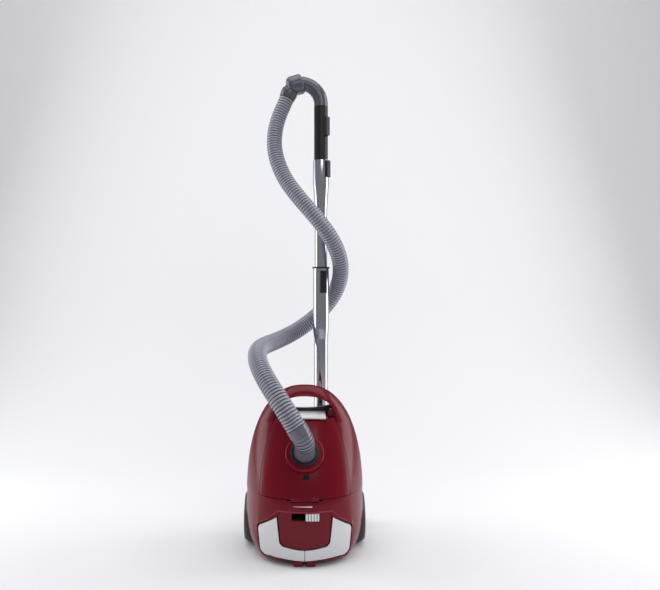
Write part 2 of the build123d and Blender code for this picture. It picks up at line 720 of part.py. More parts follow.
for side in (-1, 1):
    x0, x1 = sorted((side * (LATCH_HALF + GAP), side * (LATCH_HALF + LATCH_EAR)))
    ear = rod((x0, LATCH_PIN_Y, LATCH_PIN_Z), (x1, LATCH_PIN_Y, LATCH_PIN_Z), LATCH_T / 2 + 1)
    ear += block(x0, x1, LATCH_PIN_Y - 3, LATCH_PIN_Y + 3, LID_RIM_Z - 6, LATCH_PIN_Z)
    lid += ear
lid -= rod((-LATCH_HALF - 9, LATCH_PIN_Y, LATCH_PIN_Z), (LATCH_HALF + 9, LATCH_PIN_Y, LATCH_PIN_Z),
    LATCH_PIN_R + FIT)
lid -= rod((-LATCH_HALF - GAP, LATCH_PIN_Y, LATCH_PIN_Z), (LATCH_HALF + GAP, LATCH_PIN_Y, LATCH_PIN_Z),
    LATCH_T / 2 + GAP)
save(lid, "lid")
save(bag_window, "bag_window")
save(latch, "lid_latch")
save(rod((-EAR_OUT, HINGE_Y, SEAM_Z), (EAR_OUT, HINGE_Y, SEAM_Z), HINGE_PIN_R), "hinge_pin")

# Inlet: socket ring, elbow, swivel collar
ring = rod(along_inlet(-24), along_inlet(RING_PROUD), RING_R)
ring -= rod(along_inlet(-25), along_inlet(RING_PROUD + 1), RING_BORE_R)
ring = fillet(ring.edges().filter_by(GeomType.CIRCLE).sort_by(Axis.Z)[-2:], 1.5)
save(ring, "inlet_ring")
ELBOW_END = HOSE_END - HOSE_OUT * (SWIVEL_COLLAR + GAP)
elbow_path = FilletPolyline(along_inlet(-20), ELBOW_CORNER, ELBOW_END, radius=ELBOW_BEND_R)
elbow_start = spin(along_inlet(-20), INLET_AXIS)
elbow = sweep(elbow_start * Circle(ELBOW_R), path=elbow_path)
elbow += rod(along_inlet(-20), along_inlet(8), RING_BORE_R - GAP)
elbow -= sweep(elbow_start * Circle(ELBOW_R - 3.5), path=elbow_path)
# Ribs in the elbow's bend, as grooves that are cut round its turning axis
elbow_turn = INLET_AXIS.get_angle(HOSE_OUT)
elbow_side = INLET_AXIS.cross(HOSE_OUT).normalized()
bend_back = ELBOW_BEND_R * math.tan(math.radians(elbow_turn) / 2)
bend_low = ELBOW_CORNER - INLET_AXIS * bend_back
bend_centre = bend_low + elbow_side.cross(INLET_AXIS) * ELBOW_BEND_R
groove_ring = Circle(ELBOW_R + 2) - Circle(ELBOW_R - ELBOW_GROOVE)
for i in range(ELBOW_RIBS):
    cut = revolve(spin(bend_low, INLET_AXIS) * groove_ring, Axis(bend_centre, elbow_side),
                  revolution_arc=elbow_turn / ELBOW_RIBS * 0.4)
    elbow -= cut.rotate(Axis(bend_centre, elbow_side), elbow_turn * (i + 0.3) / ELBOW_RIBS)
save(elbow, "inlet_elbow")
collar_low = HOSE_END - HOSE_OUT * SWIVEL_COLLAR
swivel_collar = rod(collar_low, (HOSE_END - HOSE_OUT * GAP), HOSE_R_INLET + 0.8)
swivel_collar -= rod((collar_low - HOSE_OUT), (HOSE_END + HOSE_OUT), HOSE_BORE_R)
for share in (0.35, 0.65):
    ring_at = collar_low + HOSE_OUT * (SWIVEL_COLLAR * share)
    groove = spin(ring_at, HOSE_OUT) * (Cylinder(HOSE_R_INLET + 3, 2.0) - Cylinder(HOSE_R_INLET - 0.4, 2.0))
    swivel_collar -= groove
save(swivel_collar, "hose_collar")

# Base shell: the dark lower half, lofted upwards like the tail deck

def base_back(z):
    """How far back the underside lies at one height: flat, rounded in at the tail and the nose."""
    if z < 40:
        return UNDERSIDE_Y - BASE_TAIL_ROUND * ((40 - z) / (40 - TAIL_Z)) ** 2.5
    if z > 255:
        return UNDERSIDE_Y - BASE_NOSE_ROUND * ((z - 255) / (BASE_TOP - 255)) ** 2.5
    return UNDERSIDE_Y


def base_section(z, inset):
    """One height of the base: straight across the parting line, bowed sides, straight underside."""
    front = BASE_FRONT_Y - (1.5 if inset else 0)
    back = base_back(z) - inset
    w = half_width(z) - BAND_STEP - GAP - inset
    w_back = w - BASE_SIDE_TUCK
    edges = [
        Line((-w, front), (w, front)),
        ThreePointArc((w, front), (w - BASE_SIDE_TUCK * 0.32, (front + back) / 2 + 4), (w_back, back)),
        Line((w_back, back), (-w_back, back)),
        ThreePointArc((-w_back, back), (-w + BASE_SIDE_TUCK * 0.32, (front + back) / 2 + 4), (-w, front)),
    ]
    return closed_face(at_height(z), edges)


BASE_HEIGHTS = [TAIL_Z, 18, 27, 40, 80, 130, 190, 225, 255, 270, 281, BASE_TOP]
base = loft([base_section(z, 0) for z in BASE_HEIGHTS])
base_hollow = loft([base_section(z,
    WALL) for z in [TAIL_Z + WALL] + BASE_HEIGHTS[2:-1] + [BASE_TOP - WALL]])
base -= base_hollow

# Nose plug that fills the foot of the handle opening, with its smile-shaped rim
plug_edges = [
    ThreePointArc((-NOSE_HALF, NOSE_RIM_Z + NOSE_RIM_RISE), (0, NOSE_RIM_Z),
        (NOSE_HALF, NOSE_RIM_Z + NOSE_RIM_RISE)),
    Line((NOSE_HALF, NOSE_RIM_Z + NOSE_RIM_RISE), (NOSE_HALF + 5, NOSE_RIM_Z)),
    Line((NOSE_HALF + 5, NOSE_RIM_Z), (NOSE_HALF + 8, BASE_TOP)),
    Line((NOSE_HALF + 8, BASE_TOP), (-NOSE_HALF - 8, BASE_TOP)),
    Line((-NOSE_HALF - 8, BASE_TOP), (-NOSE_HALF - 5, NOSE_RIM_Z)),
    Line((-NOSE_HALF - 5, NOSE_RIM_Z), (-NOSE_HALF, NOSE_RIM_Z + NOSE_RIM_RISE)),
]
nose_trim = front_prism(make_face(Wire(plug_edges)), BASE_FRONT_Y, BASE_FRONT_Y + NOSE_DEPTH)
save(nose_trim, "nose_trim")

# Wheel wells
WELL_X = WHEEL_OUT_X - WHEEL_WIDTH - 2
behind_parting = block(-300, 300, BASE_FRONT_Y, 300, -50, 400)
for side in (-1, 1):
    cup = rod((side * (WELL_X - WALL), WHEEL_Y, wheel_z), (side * (BODY_HALF_WIDTH - 6), WHEEL_Y, wheel_z),
              WHEEL_R + WELL_GAP + WALL)
    base += cup & behind_parting & (base + base_hollow)
    boss = rod((side * (WELL_X - 14), WHEEL_Y, wheel_z), (side * (WELL_X - 1), WHEEL_Y, wheel_z),
        AXLE_R + 5)
    base += boss
base -= wells
base -= rod((-WELL_X - 20, WHEEL_Y, wheel_z), (-WELL_X + 14, WHEEL_Y, wheel_z), AXLE_R)
base -= rod((WELL_X - 14, WHEEL_Y, wheel_z), (WELL_X + 20, WHEEL_Y, wheel_z), AXLE_R)

# Caster socket in the underside
SOCKET_Y = UNDERSIDE_Y - CASTER_RECESS
base += rod((0, SOCKET_Y - WALL, CASTER_Z), (0, UNDERSIDE_Y - 1, CASTER_Z), CASTER_SOCKET_R + WALL)
base += rod((0, SOCKET_Y - 18, CASTER_Z), (0, SOCKET_Y - 1, CASTER_Z), CASTER_STEM_R + 4)
base -= rod((0, SOCKET_Y, CASTER_Z), (0, UNDERSIDE_Y + 5, CASTER_Z), CASTER_SOCKET_R)
base -= rod((0, SOCKET_Y - 25, CASTER_Z), (0, SOCKET_Y + 5, CASTER_Z), CASTER_STEM_R + FIT)

# Openings in the base: exhaust in the tail floor, cord outlet and screws in the underside
base -= block(-GRILLE_HALF, GRILLE_HALF, GRILLE_LOW_Y, GRILLE_HIGH_Y, TAIL_Z - 5, TAIL_Z + WALL + 1)
base -= rod((OUTLET_X, UNDERSIDE_Y - 10, OUTLET_Z), (OUTLET_X, UNDERSIDE_Y + 10, OUTLET_Z), OUTLET_R)
for x, z in SCREWS:
    base -= rod((x, UNDERSIDE_Y - 10, z), (x, UNDERSIDE_Y + 10, z), SCREW_R)
save(base, "base_shell")
screw_group = [rod((x, UNDERSIDE_Y - 14, z), (x, UNDERSIDE_Y + 0.4, z), SCREW_R)
               - block(x - 3.2, x + 3.2, UNDERSIDE_Y - 1, UNDERSIDE_Y + 2, z - 0.6,
                   z + 0.6) for x, z in SCREWS]
save(Compound(children=screw_group), "base_screws")
outlet = rod((OUTLET_X, UNDERSIDE_Y - 6, OUTLET_Z), (OUTLET_X, UNDERSIDE_Y + 3, OUTLET_Z), OUTLET_R)
outlet += rod((OUTLET_X, UNDERSIDE_Y + 0.4, OUTLET_Z), (OUTLET_X, UNDERSIDE_Y + 3.4, OUTLET_Z),
    OUTLET_R + 3)
outlet -= rod((OUTLET_X, UNDERSIDE_Y - 10, OUTLET_Z), (OUTLET_X, UNDERSIDE_Y + 10, OUTLET_Z),
    OUTLET_R - 3.5)
save(outlet, "cord_outlet")
grille = block(-GRILLE_HALF, GRILLE_HALF, GRILLE_LOW_Y, GRILLE_HIGH_Y, TAIL_Z, TAIL_Z + WALL)
for i in range(9):
    x = -GRILLE_HALF + 8 + i * (2 * GRILLE_HALF - 16) / 8
    grille -= block(x - 2, x + 2, GRILLE_LOW_Y + 5, GRILLE_HIGH_Y - 5, TAIL_Z - 1, TAIL_Z + WALL + 1)
save(grille, "exhaust_grille")
save(block(-GRILLE_HALF - 3, GRILLE_HALF + 3, GRILLE_LOW_Y - 1, GRILLE_HIGH_Y + 1, TAIL_Z + WALL,
    TAIL_Z + WALL + 9),
     "exhaust_filter")

# Tail feet and their pads
jaws = []
pads = []
for side in (-1, 1):
    x0, x1 = sorted((side * JAW_IN, side * JAW_OUT))
    jaw = block(x0, x1, JAW_FRONT_Y, JAW_BACK_Y, PAD_T, TAIL_Z)
    jaws.append(fillet(jaw.edges().filter_by(Axis.Z), 4.0))
    pad = block(x0 + 2, x1 - 2, JAW_FRONT_Y + 2, JAW_BACK_Y - 2, 0, PAD_T)
    pads.append(fillet(pad.edges().filter_by(Axis.Z), 3.0))
    pads.append(rod((side * REAR_FOOT_X, REAR_FOOT_Y, 0), (side * REAR_FOOT_X, REAR_FOOT_Y, TAIL_Z),
        REAR_FOOT_R))
save(Compound(children=jaws), "tail_feet")
save(Compound(children=pads), "foot_pads")

# Wheels on fixed pins
WHEEL_IN_X = WHEEL_OUT_X - WHEEL_WIDTH


def wheel_profile():
    """Half a wheel's section: X is the radius, Y the distance out from the body."""
    w = WHEEL_WIDTH
    r = WHEEL_R
    bore = AXLE_R + FIT
    return make_face(Polyline((bore, 0), (16, 0), (20, 3), (r - 6, 3), (r - 3, 1), (r, 4), (r, w - 8),
        (r - 4, w - 2),
                              (r - 9, w - 1.4), (r - 10, w - 3), (r - 12, w - 3), (r - 13,
                                  w - 1.2), (30, w), (15, w - 1),
                              (13, w - 6), (bore, w - 6), close=True))


pins = []
for side, name in ((-1, "left_wheel"), (1, "right_wheel")):
    hub = Plane(origin=(side * WHEEL_IN_X, WHEEL_Y, wheel_z), x_dir=(0, 1, 0), z_dir=(side, 0, 0))
    section = Plane(origin=hub.origin, x_dir=hub.x_dir, z_dir=hub.x_dir.cross(hub.z_dir)) * wheel_profile()
    save(revolve(section, Axis(hub.origin, hub.z_dir)), name)
    pin = rod((side * (WELL_X - 12), WHEEL_Y, wheel_z), (side * (WHEEL_OUT_X - 5.5), WHEEL_Y, wheel_z),
        AXLE_R)
    pin += rod((side * (WHEEL_OUT_X - 5.7), WHEEL_Y, wheel_z), (side * (WHEEL_OUT_X - 2), WHEEL_Y,
        wheel_z), AXLE_R + 5)
    pins.append(pin)
save(Compound(children=pins), "wheel_pins")

# Caster: fork, roller, axle
FORK_Y = SOCKET_Y + 1
ROLLER_Y = UNDERSIDE_Y + CASTER_DROP
ROLLER_Z = CASTER_Z - CASTER_TRAIL
fork = rod((0, FORK_Y, CASTER_Z), (0, FORK_Y + 3, CASTER_Z), CASTER_SOCKET_R - 4)
fork += rod((0, SOCKET_Y - 17, CASTER_Z), (0, FORK_Y + 1, CASTER_Z), CASTER_STEM_R)
for side in (-1, 1):
    x0, x1 = sorted((side * (CASTER_WIDTH / 2 + GAP), side * (CASTER_WIDTH / 2 + 3)))
    fork += block(x0, x1, FORK_Y + 2, ROLLER_Y, ROLLER_Z - 4, ROLLER_Z + 8)
    fork += rod((x0, ROLLER_Y, ROLLER_Z), (x1, ROLLER_Y, ROLLER_Z), 4)
fork -= rod((-20, ROLLER_Y, ROLLER_Z), (20, ROLLER_Y, ROLLER_Z), 1.5)
save(fork, "caster_fork")
CASTER_PIN = CASTER_WIDTH / 2 + 3
save(rod((-CASTER_PIN, ROLLER_Y, ROLLER_Z), (CASTER_PIN, ROLLER_Y, ROLLER_Z), 1.5), "caster_axle")
roller = rod((-CASTER_WIDTH / 2, ROLLER_Y, ROLLER_Z), (CASTER_WIDTH / 2, ROLLER_Y, ROLLER_Z), CASTER_R)
roller = fillet(roller.edges(), 2.0)
roller -= rod((-20, ROLLER_Y, ROLLER_Z), (20, ROLLER_Y, ROLLER_Z), 1.5 + FIT)
save(roller, "caster_roller")

# Parking socket on the underside: a T slot open at the top
socket = block(TUBE_X - PARK_HALF, TUBE_X + PARK_HALF, UNDERSIDE_Y + 0.25, PARK_Y + HOOK_T + 7,
    HOOK_LOW - 6, HOOK_HIGH + 6)
socket = fillet(socket.edges().filter_by(Axis.Y), 4.0)
socket -= block(TUBE_X - HOOK_HALF - 0.5, TUBE_X + HOOK_HALF + 0.5, PARK_Y - 0.5, PARK_Y + HOOK_T + 0.5,
                HOOK_LOW - GAP, HOOK_HIGH + 20)
socket -= block(TUBE_X - HOOK_STEM_HALF - 0.5, TUBE_X + HOOK_STEM_HALF + 0.5, PARK_Y, PARK_Y + HOOK_T + 20,
                HOOK_LOW - GAP, HOOK_HIGH + 20)
save(socket, "park_socket")

# Wand: telescopic tubes


def on_tube(angle, radius, z):
    """A point beside the tube's axis; angle 0 is the front, +90 the right."""
    turn = math.radians(angle)
    return (TUBE_X + radius * math.sin(turn), TUBE_Y - radius * math.cos(turn), z)


def tube_slot(angle, half, r_in, r_out, z0, z1):
    """A box across the tube's wall at one angle."""
    size = Box(2 * half, r_out - r_in, z1 - z0)
    turn = Plane(origin=on_tube(angle, (r_in + r_out) / 2, (z0 + z1) / 2),
                 x_dir=(math.cos(math.radians(angle)), math.sin(math.radians(angle)), 0), z_dir=(0, 0, 1))
    return turn * size


def slide_button(angle, seat, wall, width, proud, z0, z1, z_rib):
    """A ribbed button seated on a round surface, with a tongue in the slot below it."""
    outer = rod((TUBE_X, TUBE_Y, z0), (TUBE_X, TUBE_Y, z1), seat + proud)
    outer -= rod((TUBE_X, TUBE_Y, z0 - 1), (TUBE_X, TUBE_Y, z1 + 1), seat + GAP)
    button = outer & tube_slot(angle, width / 2, seat * 0.4, seat + proud + 2, z0, z1)
    button = fillet(button.edges().filter_by(Axis.Z).sort_by_distance(on_tube(angle, seat + 60,
        (z0 + z1) / 2))[:2], 2.0)
    for i in range(3):
        z = z0 + (z1 - z0) * (0.62 + 0.12 * i)
        button -= tube_slot(angle, width, seat + proud - 0.9, seat + proud + 3, z, z + 1.6)
    button += tube_slot(angle, 2.7, seat - wall + GAP, seat + 1.5, z_rib[0], z_rib[1])
    return button


tube_bore = TUBE_R - TUBE_WALL
save(tube(TUBE_X, TUBE_Y, TUBE_LOW_Z, SLEEVE_TOP, TUBE_R, tube_bore), "outer_tube")
sleeve_face = make_face(Polyline((TUBE_R, SLEEVE_LOW - SLEEVE_TAPER),
    (TUBE_R + 0.4, SLEEVE_LOW - SLEEVE_TAPER),
                                 (SLEEVE_R, SLEEVE_LOW), (SLEEVE_R, SLEEVE_TOP), (TUBE_R,
                                     SLEEVE_TOP), close=True))
tube_axis = Axis((TUBE_X, TUBE_Y, 0), (0, 0, 1))
axis_plane = Plane(origin=(TUBE_X, TUBE_Y, 0), x_dir=(1, 0, 0), z_dir=(0, -1, 0))
sleeve = revolve(axis_plane * sleeve_face, tube_axis)
BUTTON_TRAVEL = 8.0
rib_low = BUTTON_LOW + 14
rib_high = BUTTON_HIGH - 12
sleeve -= tube_slot(BUTTON_TURN, 3.0, TUBE_R - 4, SLEEVE_R + 4, rib_low - BUTTON_TRAVEL - GAP,
    rib_high + GAP)
save(sleeve, "tube_sleeve")
save(slide_button(BUTTON_TURN, SLEEVE_R, SLEEVE_R - TUBE_R, BUTTON_WIDTH, BUTTON_PROUD, BUTTON_LOW,
    BUTTON_HIGH,
                  (rib_low, rib_high)), "tube_lock_button")
flange = tube(TUBE_X, TUBE_Y, SLEEVE_TOP, SLEEVE_TOP + FLANGE_H, FLANGE_R, INNER_R + FIT)
flange = fillet(flange.edges().filter_by(GeomType.CIRCLE).sort_by(SortBy.RADIUS)[-2:], 1.2)
save(flange, "tube_flange")
INNER_TOP = SOCKET_TOP - 10
save(tube(TUBE_X, TUBE_Y, INNER_LOW_Z, INNER_TOP, INNER_R, INNER_R - INNER_WALL), "inner_tube")
socket_face = make_face(Polyline((INNER_R, SOCKET_LOW - SOCKET_TAPER),
    (INNER_R + 0.4, SOCKET_LOW - SOCKET_TAPER),
                                 (SOCKET_R, SOCKET_LOW), (SOCKET_R, SOCKET_TOP), (INNER_R,
                                     SOCKET_TOP), close=True))
handle_socket = revolve(axis_plane * socket_face, tube_axis)
LATCH_TRAVEL = 4.0
latch_rib = (LATCH_LOW + 12, LATCH_HIGH - 12)
handle_socket -= tube_slot(LATCH_TURN, 3.0, INNER_R + 1.4, SOCKET_R + 4,
                           latch_rib[0] - LATCH_TRAVEL - GAP, latch_rib[1] + GAP)
save(handle_socket, "handle_socket")
save(slide_button(LATCH_TURN, SOCKET_R, SOCKET_R - INNER_R - 1.4, LATCH_WIDTH, LATCH_PROUD,
                  LATCH_LOW, LATCH_HIGH, latch_rib), "handle_latch")

# Handle: grip, bend, air valve and the hose's swivel
HOSE_START = Vector(*HOSE_ROUTE[0])
HOSE_IN = (Vector(*HOSE_ROUTE[1]) - HOSE_START).normalized()
BEND_END = HOSE_START - HOSE_IN * SWIVEL_LEN
bend_turn = math.atan2(-HOSE_IN.X, HOSE_IN.Z)
knee_run = KNEE_R * (math.cos(KNEE_TURN) - math.cos(bend_turn))
knee_rise = KNEE_R * (math.sin(bend_turn) - math.sin(KNEE_TURN))
BEND_R = (TUBE_X - BEND_END.X - knee_run) / (1 - math.cos(KNEE_TURN))
BEND_START_Z = BEND_END.Z - BEND_R * math.sin(KNEE_TURN) - knee_rise
grip = tube(TUBE_X, TUBE_Y, SOCKET_TOP, GRIP_TOP, HANDLE_R, HANDLE_R - HANDLE_WALL)
grip += tube(TUBE_X, TUBE_Y, INNER_TOP, SOCKET_TOP + 1, INNER_R, HANDLE_R - HANDLE_WALL)
VALVE_TRAVEL = 14.0
valve_rib = (VALVE_LOW + 10, VALVE_HIGH - 10)
grip -= tube_slot(VALVE_TURN, 3.0, HANDLE_R - 6, HANDLE_R + 4, valve_rib[0] - VALVE_TRAVEL - GAP,
                  valve_rib[1] + GAP)
save(grip, "handle_grip")
save(slide_button(VALVE_TURN, HANDLE_R, HANDLE_WALL, VALVE_WIDTH, VALVE_PROUD, VALVE_LOW,
                  VALVE_HIGH, valve_rib), "air_valve")


def on_bend(turn):
    """A point on the handle's middle line: a wide turn first, then a tighter one in the knuckle."""
    first = min(turn, KNEE_TURN)
    x = TUBE_X - BEND_R * (1 - math.cos(first)) - KNEE_R * (math.cos(first) - math.cos(turn))
    z = BEND_START_Z + BEND_R * math.sin(first) + KNEE_R * (math.sin(turn) - math.sin(first))
    return (x, TUBE_Y, z)


bend_path = Wire([Line((TUBE_X, TUBE_Y, GRIP_TOP), on_bend(0)),
                  ThreePointArc(on_bend(0), on_bend(KNEE_TURN / 2), on_bend(KNEE_TURN)),
                  ThreePointArc(on_bend(KNEE_TURN), on_bend((KNEE_TURN + bend_turn) / 2),
                      on_bend(bend_turn))])
bend_plane = Plane(origin=(TUBE_X, TUBE_Y, GRIP_TOP))
knuckle_at = Vector(*on_bend(KNEE_TURN))
knuckle_way = Vector(-math.cos(KNUCKLE_DROP), 0, -math.sin(KNUCKLE_DROP))
knuckle = rod(knuckle_at - knuckle_way * 2, knuckle_at + knuckle_way * (KNUCKLE_LEN - 2), KNUCKLE_R)
knuckle_ends = knuckle.edges().filter_by(GeomType.CIRCLE).sort_by(Axis.X)
knuckle = fillet(knuckle_ends[:1], KNUCKLE_ROUND)
knuckle = fillet(knuckle.edges().filter_by(GeomType.CIRCLE).sort_by(Axis.X)[-1:], 5)
bend = sweep(bend_plane * Circle(HANDLE_R), path=bend_path)
bend += knuckle - rod(BEND_END, BEND_END + HOSE_IN * 80, 70)
bend -= sweep(bend_plane * Circle(HANDLE_R - HANDLE_WALL), path=bend_path)
spigot = rod(BEND_END - HOSE_IN * 2, BEND_END + HOSE_IN * 14, SPIGOT_R) - rod(
    BEND_END - HOSE_IN * 6, BEND_END + HOSE_IN * 16, SPIGOT_R - 2)
bend += spigot - rod(BEND_END - HOSE_IN * 30, BEND_END - HOSE_IN * 0.01, 60)
save(bend, "handle_bend")
swivel_plane = Plane(origin=BEND_END, x_dir=(0, 1, 0), z_dir=Vector(0, 1, 0).cross(HOSE_IN))
low = SWIVEL_LEN - GAP
swivel_edges = [
    Line((SPIGOT_R + FIT, GAP), (SWIVEL_R - 1, GAP)),
    Spline((SWIVEL_R - 1, GAP), (SWIVEL_R, low * 0.3), (SWIVEL_R - 0.3, low * 0.6),
        (HOSE_R_HANDLE + 0.6, low)),
    Line((HOSE_R_HANDLE + 0.6, low), (HOSE_BORE_R, low)),
    Line((HOSE_BORE_R, low), (HOSE_BORE_R, 16)),
    Line((HOSE_BORE_R, 16), (SPIGOT_R + FIT, 16)),
    Line((SPIGOT_R + FIT, 16), (SPIGOT_R + FIT, GAP)),
]
swivel_face = make_face(Wire(swivel_edges))
swivel = revolve(swivel_plane * swivel_face, Axis(BEND_END, HOSE_IN))
save(swivel, "handle_swivel")

# Floor nozzle: neck with its parking hook
neck = tube(TUBE_X, TUBE_Y, TUBE_LOW_Z - 4, NECK_TOP, NECK_R, TUBE_R)
neck = fillet(neck.edges().filter_by(GeomType.CIRCLE).sort_by(Axis.Z)[-1:], 0.8)
neck += tube(TUBE_X, TUBE_Y, NOZZLE_PIVOT_Z + 26, TUBE_LOW_Z, NECK_R, NECK_BORE_R)
neck += rod((TUBE_X, TUBE_Y, NOZZLE_PIVOT_Z), (TUBE_X, TUBE_Y, NOZZLE_PIVOT_Z + 28), NECK_STEM_R)
neck += rod((TUBE_X - NECK_BARREL_HALF, TUBE_Y, NOZZLE_PIVOT_Z), (TUBE_X + NECK_BARREL_HALF, TUBE_Y,
    NOZZLE_PIVOT_Z),
            NECK_BARREL_R)
neck -= rod((TUBE_X, TUBE_Y, NOZZLE_PIVOT_Z + 5), (TUBE_X, TUBE_Y, TUBE_LOW_Z + 1), NECK_STEM_R - 4)
neck -= rod((TUBE_X, TUBE_Y, NOZZLE_PIVOT_Z + 29), (TUBE_X, TUBE_Y, TUBE_LOW_Z + 1), NECK_BORE_R)
neck -= rod((TUBE_X, TUBE_Y, NOZZLE_PIVOT_Z), (TUBE_X, TUBE_Y + 30, NOZZLE_PIVOT_Z - 8),
    NECK_BORE_R - 2) & block(
    TUBE_X - 9, TUBE_X + 9, TUBE_Y, TUBE_Y + 40, NOZZLE_PIVOT_Z - 40, NOZZLE_PIVOT_Z + 20)
neck -= rod((TUBE_X - 40, TUBE_Y, NOZZLE_PIVOT_Z), (TUBE_X + 40, TUBE_Y, NOZZLE_PIVOT_Z),
    NOZZLE_PIN_R + FIT)
hook = block(TUBE_X - HOOK_STEM_HALF, TUBE_X + HOOK_STEM_HALF, PARK_Y + 1, TUBE_Y - NECK_R + 3,
    HOOK_LOW, HOOK_HIGH)
hook += block(TUBE_X - HOOK_HALF, TUBE_X + HOOK_HALF, PARK_Y, PARK_Y + HOOK_T, HOOK_LOW, HOOK_HIGH)
neck += hook - rod((TUBE_X, TUBE_Y, 40), (TUBE_X, TUBE_Y, 140), NECK_R - 0.5)
save(neck, "nozzle_neck")

# Floor nozzle: head
heel = TUBE_Y - NOZZLE_HEEL
toe = TUBE_Y + NOZZLE_TOE
sole_top = NOZZLE_LIFT + SOLE_T


def across_nozzle(points, half):
    """A side profile, drawn in Y and Z, pushed through across the nozzle."""
    plane = Plane(origin=(TUBE_X - half, 0, 0), x_dir=(0, 1, 0), z_dir=(1, 0, 0))
    return plane * extrude(make_face(Polyline(*points, close=True)), 2 * half)


SHOULDER_Y = TUBE_Y + 18
profile = [(heel, sole_top), (toe, sole_top), (toe, NOZZLE_TOE_H), (SHOULDER_Y, NOZZLE_HEIGHT),
    (heel + 6, NOZZLE_HEIGHT),
           (heel, NOZZLE_HEIGHT - 6)]
inner_profile = [(heel + 3, sole_top - 1), (toe - 3, sole_top - 1), (toe - 3, NOZZLE_TOE_H - 3),
                 (SHOULDER_Y - 1, NOZZLE_HEIGHT - 3), (heel + 7, NOZZLE_HEIGHT - 3), (heel + 3,
                     NOZZLE_HEIGHT - 7)]
head = across_nozzle(profile, NOZZLE_HALF)
head = fillet(head.edges().filter_by(Axis.Z), 5.0)
head = fillet(head.edges().filter_by(Axis.X).group_by(Axis.Z)[-1], 5.0)
head -= across_nozzle(inner_profile, NOZZLE_HALF - 3)
for side in (-1, 1):
    x0, x1 = sorted((TUBE_X + side * (NECK_BARREL_HALF + GAP), TUBE_X + side * (NECK_BARREL_HALF + 6)))
    cheek = block(x0, x1, heel + 1, SHOULDER_Y + 5, sole_top, NOZZLE_HEIGHT - 1)
    head += cheek & across_nozzle(profile, NOZZLE_HALF)
head -= block(TUBE_X - NECK_BARREL_HALF - GAP, TUBE_X + NECK_BARREL_HALF + GAP, heel - 5, SHOULDER_Y,
    NOZZLE_PIVOT_Z - 22,
              NOZZLE_HEIGHT + 5)
pin_half = NECK_BARREL_HALF + 6
head -= rod((TUBE_X - pin_half - 5, TUBE_Y, NOZZLE_PIVOT_Z), (TUBE_X + pin_half + 5, TUBE_Y,
    NOZZLE_PIVOT_Z), NOZZLE_PIN_R)

# Floor nozzle: rocker pedal in a recess of the sloping top
slope = math.atan2(NOZZLE_HEIGHT - NOZZLE_TOE_H, toe - SHOULDER_Y)
PEDAL_Y = (SHOULDER_Y + toe) / 2 + 1
ROCKER_Z = (NOZZLE_HEIGHT + NOZZLE_TOE_H) / 2 - 0.5
rocker_plane = Plane(origin=(TUBE_X, PEDAL_Y, ROCKER_Z), x_dir=(1, 0, 0),
                     z_dir=(0, math.sin(slope), math.cos(slope)))
rocker = rocker_plane * fillet(Box(2 * ROCKER_HALF, ROCKER_LENGTH, ROCKER_T).edges().filter_by(Axis.Z), 3.0)
rocker_hole = rocker_plane * Box(2 * ROCKER_HALF + 3, ROCKER_LENGTH + 4, 30)
rocker_pin_half = ROCKER_HALF + 5
bearing = rod((TUBE_X - rocker_pin_half - 1, PEDAL_Y, ROCKER_Z), (TUBE_X + rocker_pin_half + 1, PEDAL_Y,
    ROCKER_Z), 5)
head += bearing & across_nozzle(profile, NOZZLE_HALF)
head -= rocker_hole
rocker += rod((TUBE_X - rocker_pin_half, PEDAL_Y, ROCKER_Z), (TUBE_X + rocker_pin_half, PEDAL_Y,
    ROCKER_Z), 2.0)
head -= rod((TUBE_X - rocker_pin_half - GAP, PEDAL_Y, ROCKER_Z), (TUBE_X + rocker_pin_half + GAP,
    PEDAL_Y, ROCKER_Z),
            2.0 + FIT)
save(head, "nozzle_head")
save(rocker, "nozzle_pedal")
save(rod((TUBE_X - pin_half, TUBE_Y, NOZZLE_PIVOT_Z), (TUBE_X + pin_half, TUBE_Y, NOZZLE_PIVOT_Z),
    NOZZLE_PIN_R), "nozzle_pin")

# Floor nozzle: sole, brush strip and rollers
sole = block(TUBE_X - NOZZLE_HALF + 1, TUBE_X + NOZZLE_HALF - 1, heel + 1, toe - 1, NOZZLE_LIFT, sole_top)
sole = fillet(sole.edges().filter_by(Axis.Z), 4.0)
sole -= block(TUBE_X - MOUTH_HALF, TUBE_X + MOUTH_HALF, TUBE_Y + 6, TUBE_Y + 24, 0, 20)
BRUSH_Y = toe - 16
sole -= block(TUBE_X - BRUSH_HALF - 0.5, TUBE_X + BRUSH_HALF + 0.5, BRUSH_Y - 2.5, BRUSH_Y + 2.5, 0, 20)
rollers = []
for side in (-1, 1):
    x = TUBE_X + side * ROLLER_X
    sole -= block(x - 10.5, x + 10.5, ROLL_Y - 6.5, ROLL_Y + 6.5, 0, 20)
    for end in (-1, 1):
        x0, x1 = sorted((x + end * 8.3, x + end * 10.8))
        ear = block(x0, x1, ROLL_Y - 6.5, ROLL_Y + 6.5, NOZZLE_LIFT, ROLL_R + 3)
        sole += ear
    sole -= rod((x - 14, ROLL_Y, ROLL_R), (x + 14, ROLL_Y, ROLL_R), 1.5 + FIT)
    rollers.append(rod((x - 8, ROLL_Y, ROLL_R), (x + 8, ROLL_Y, ROLL_R), ROLL_R)
                   + rod((x - 10.5, ROLL_Y, ROLL_R), (x + 10.5, ROLL_Y, ROLL_R), 1.5))
save(sole, "nozzle_sole")
save(rollers[0], "left_roller")
save(rollers[1], "right_roller")
brush = block(TUBE_X - BRUSH_HALF, TUBE_X + BRUSH_HALF, BRUSH_Y - 2.2, BRUSH_Y + 2.2, sole_top - 1.5,
    sole_top + 6)
save(brush, "brush_strip")

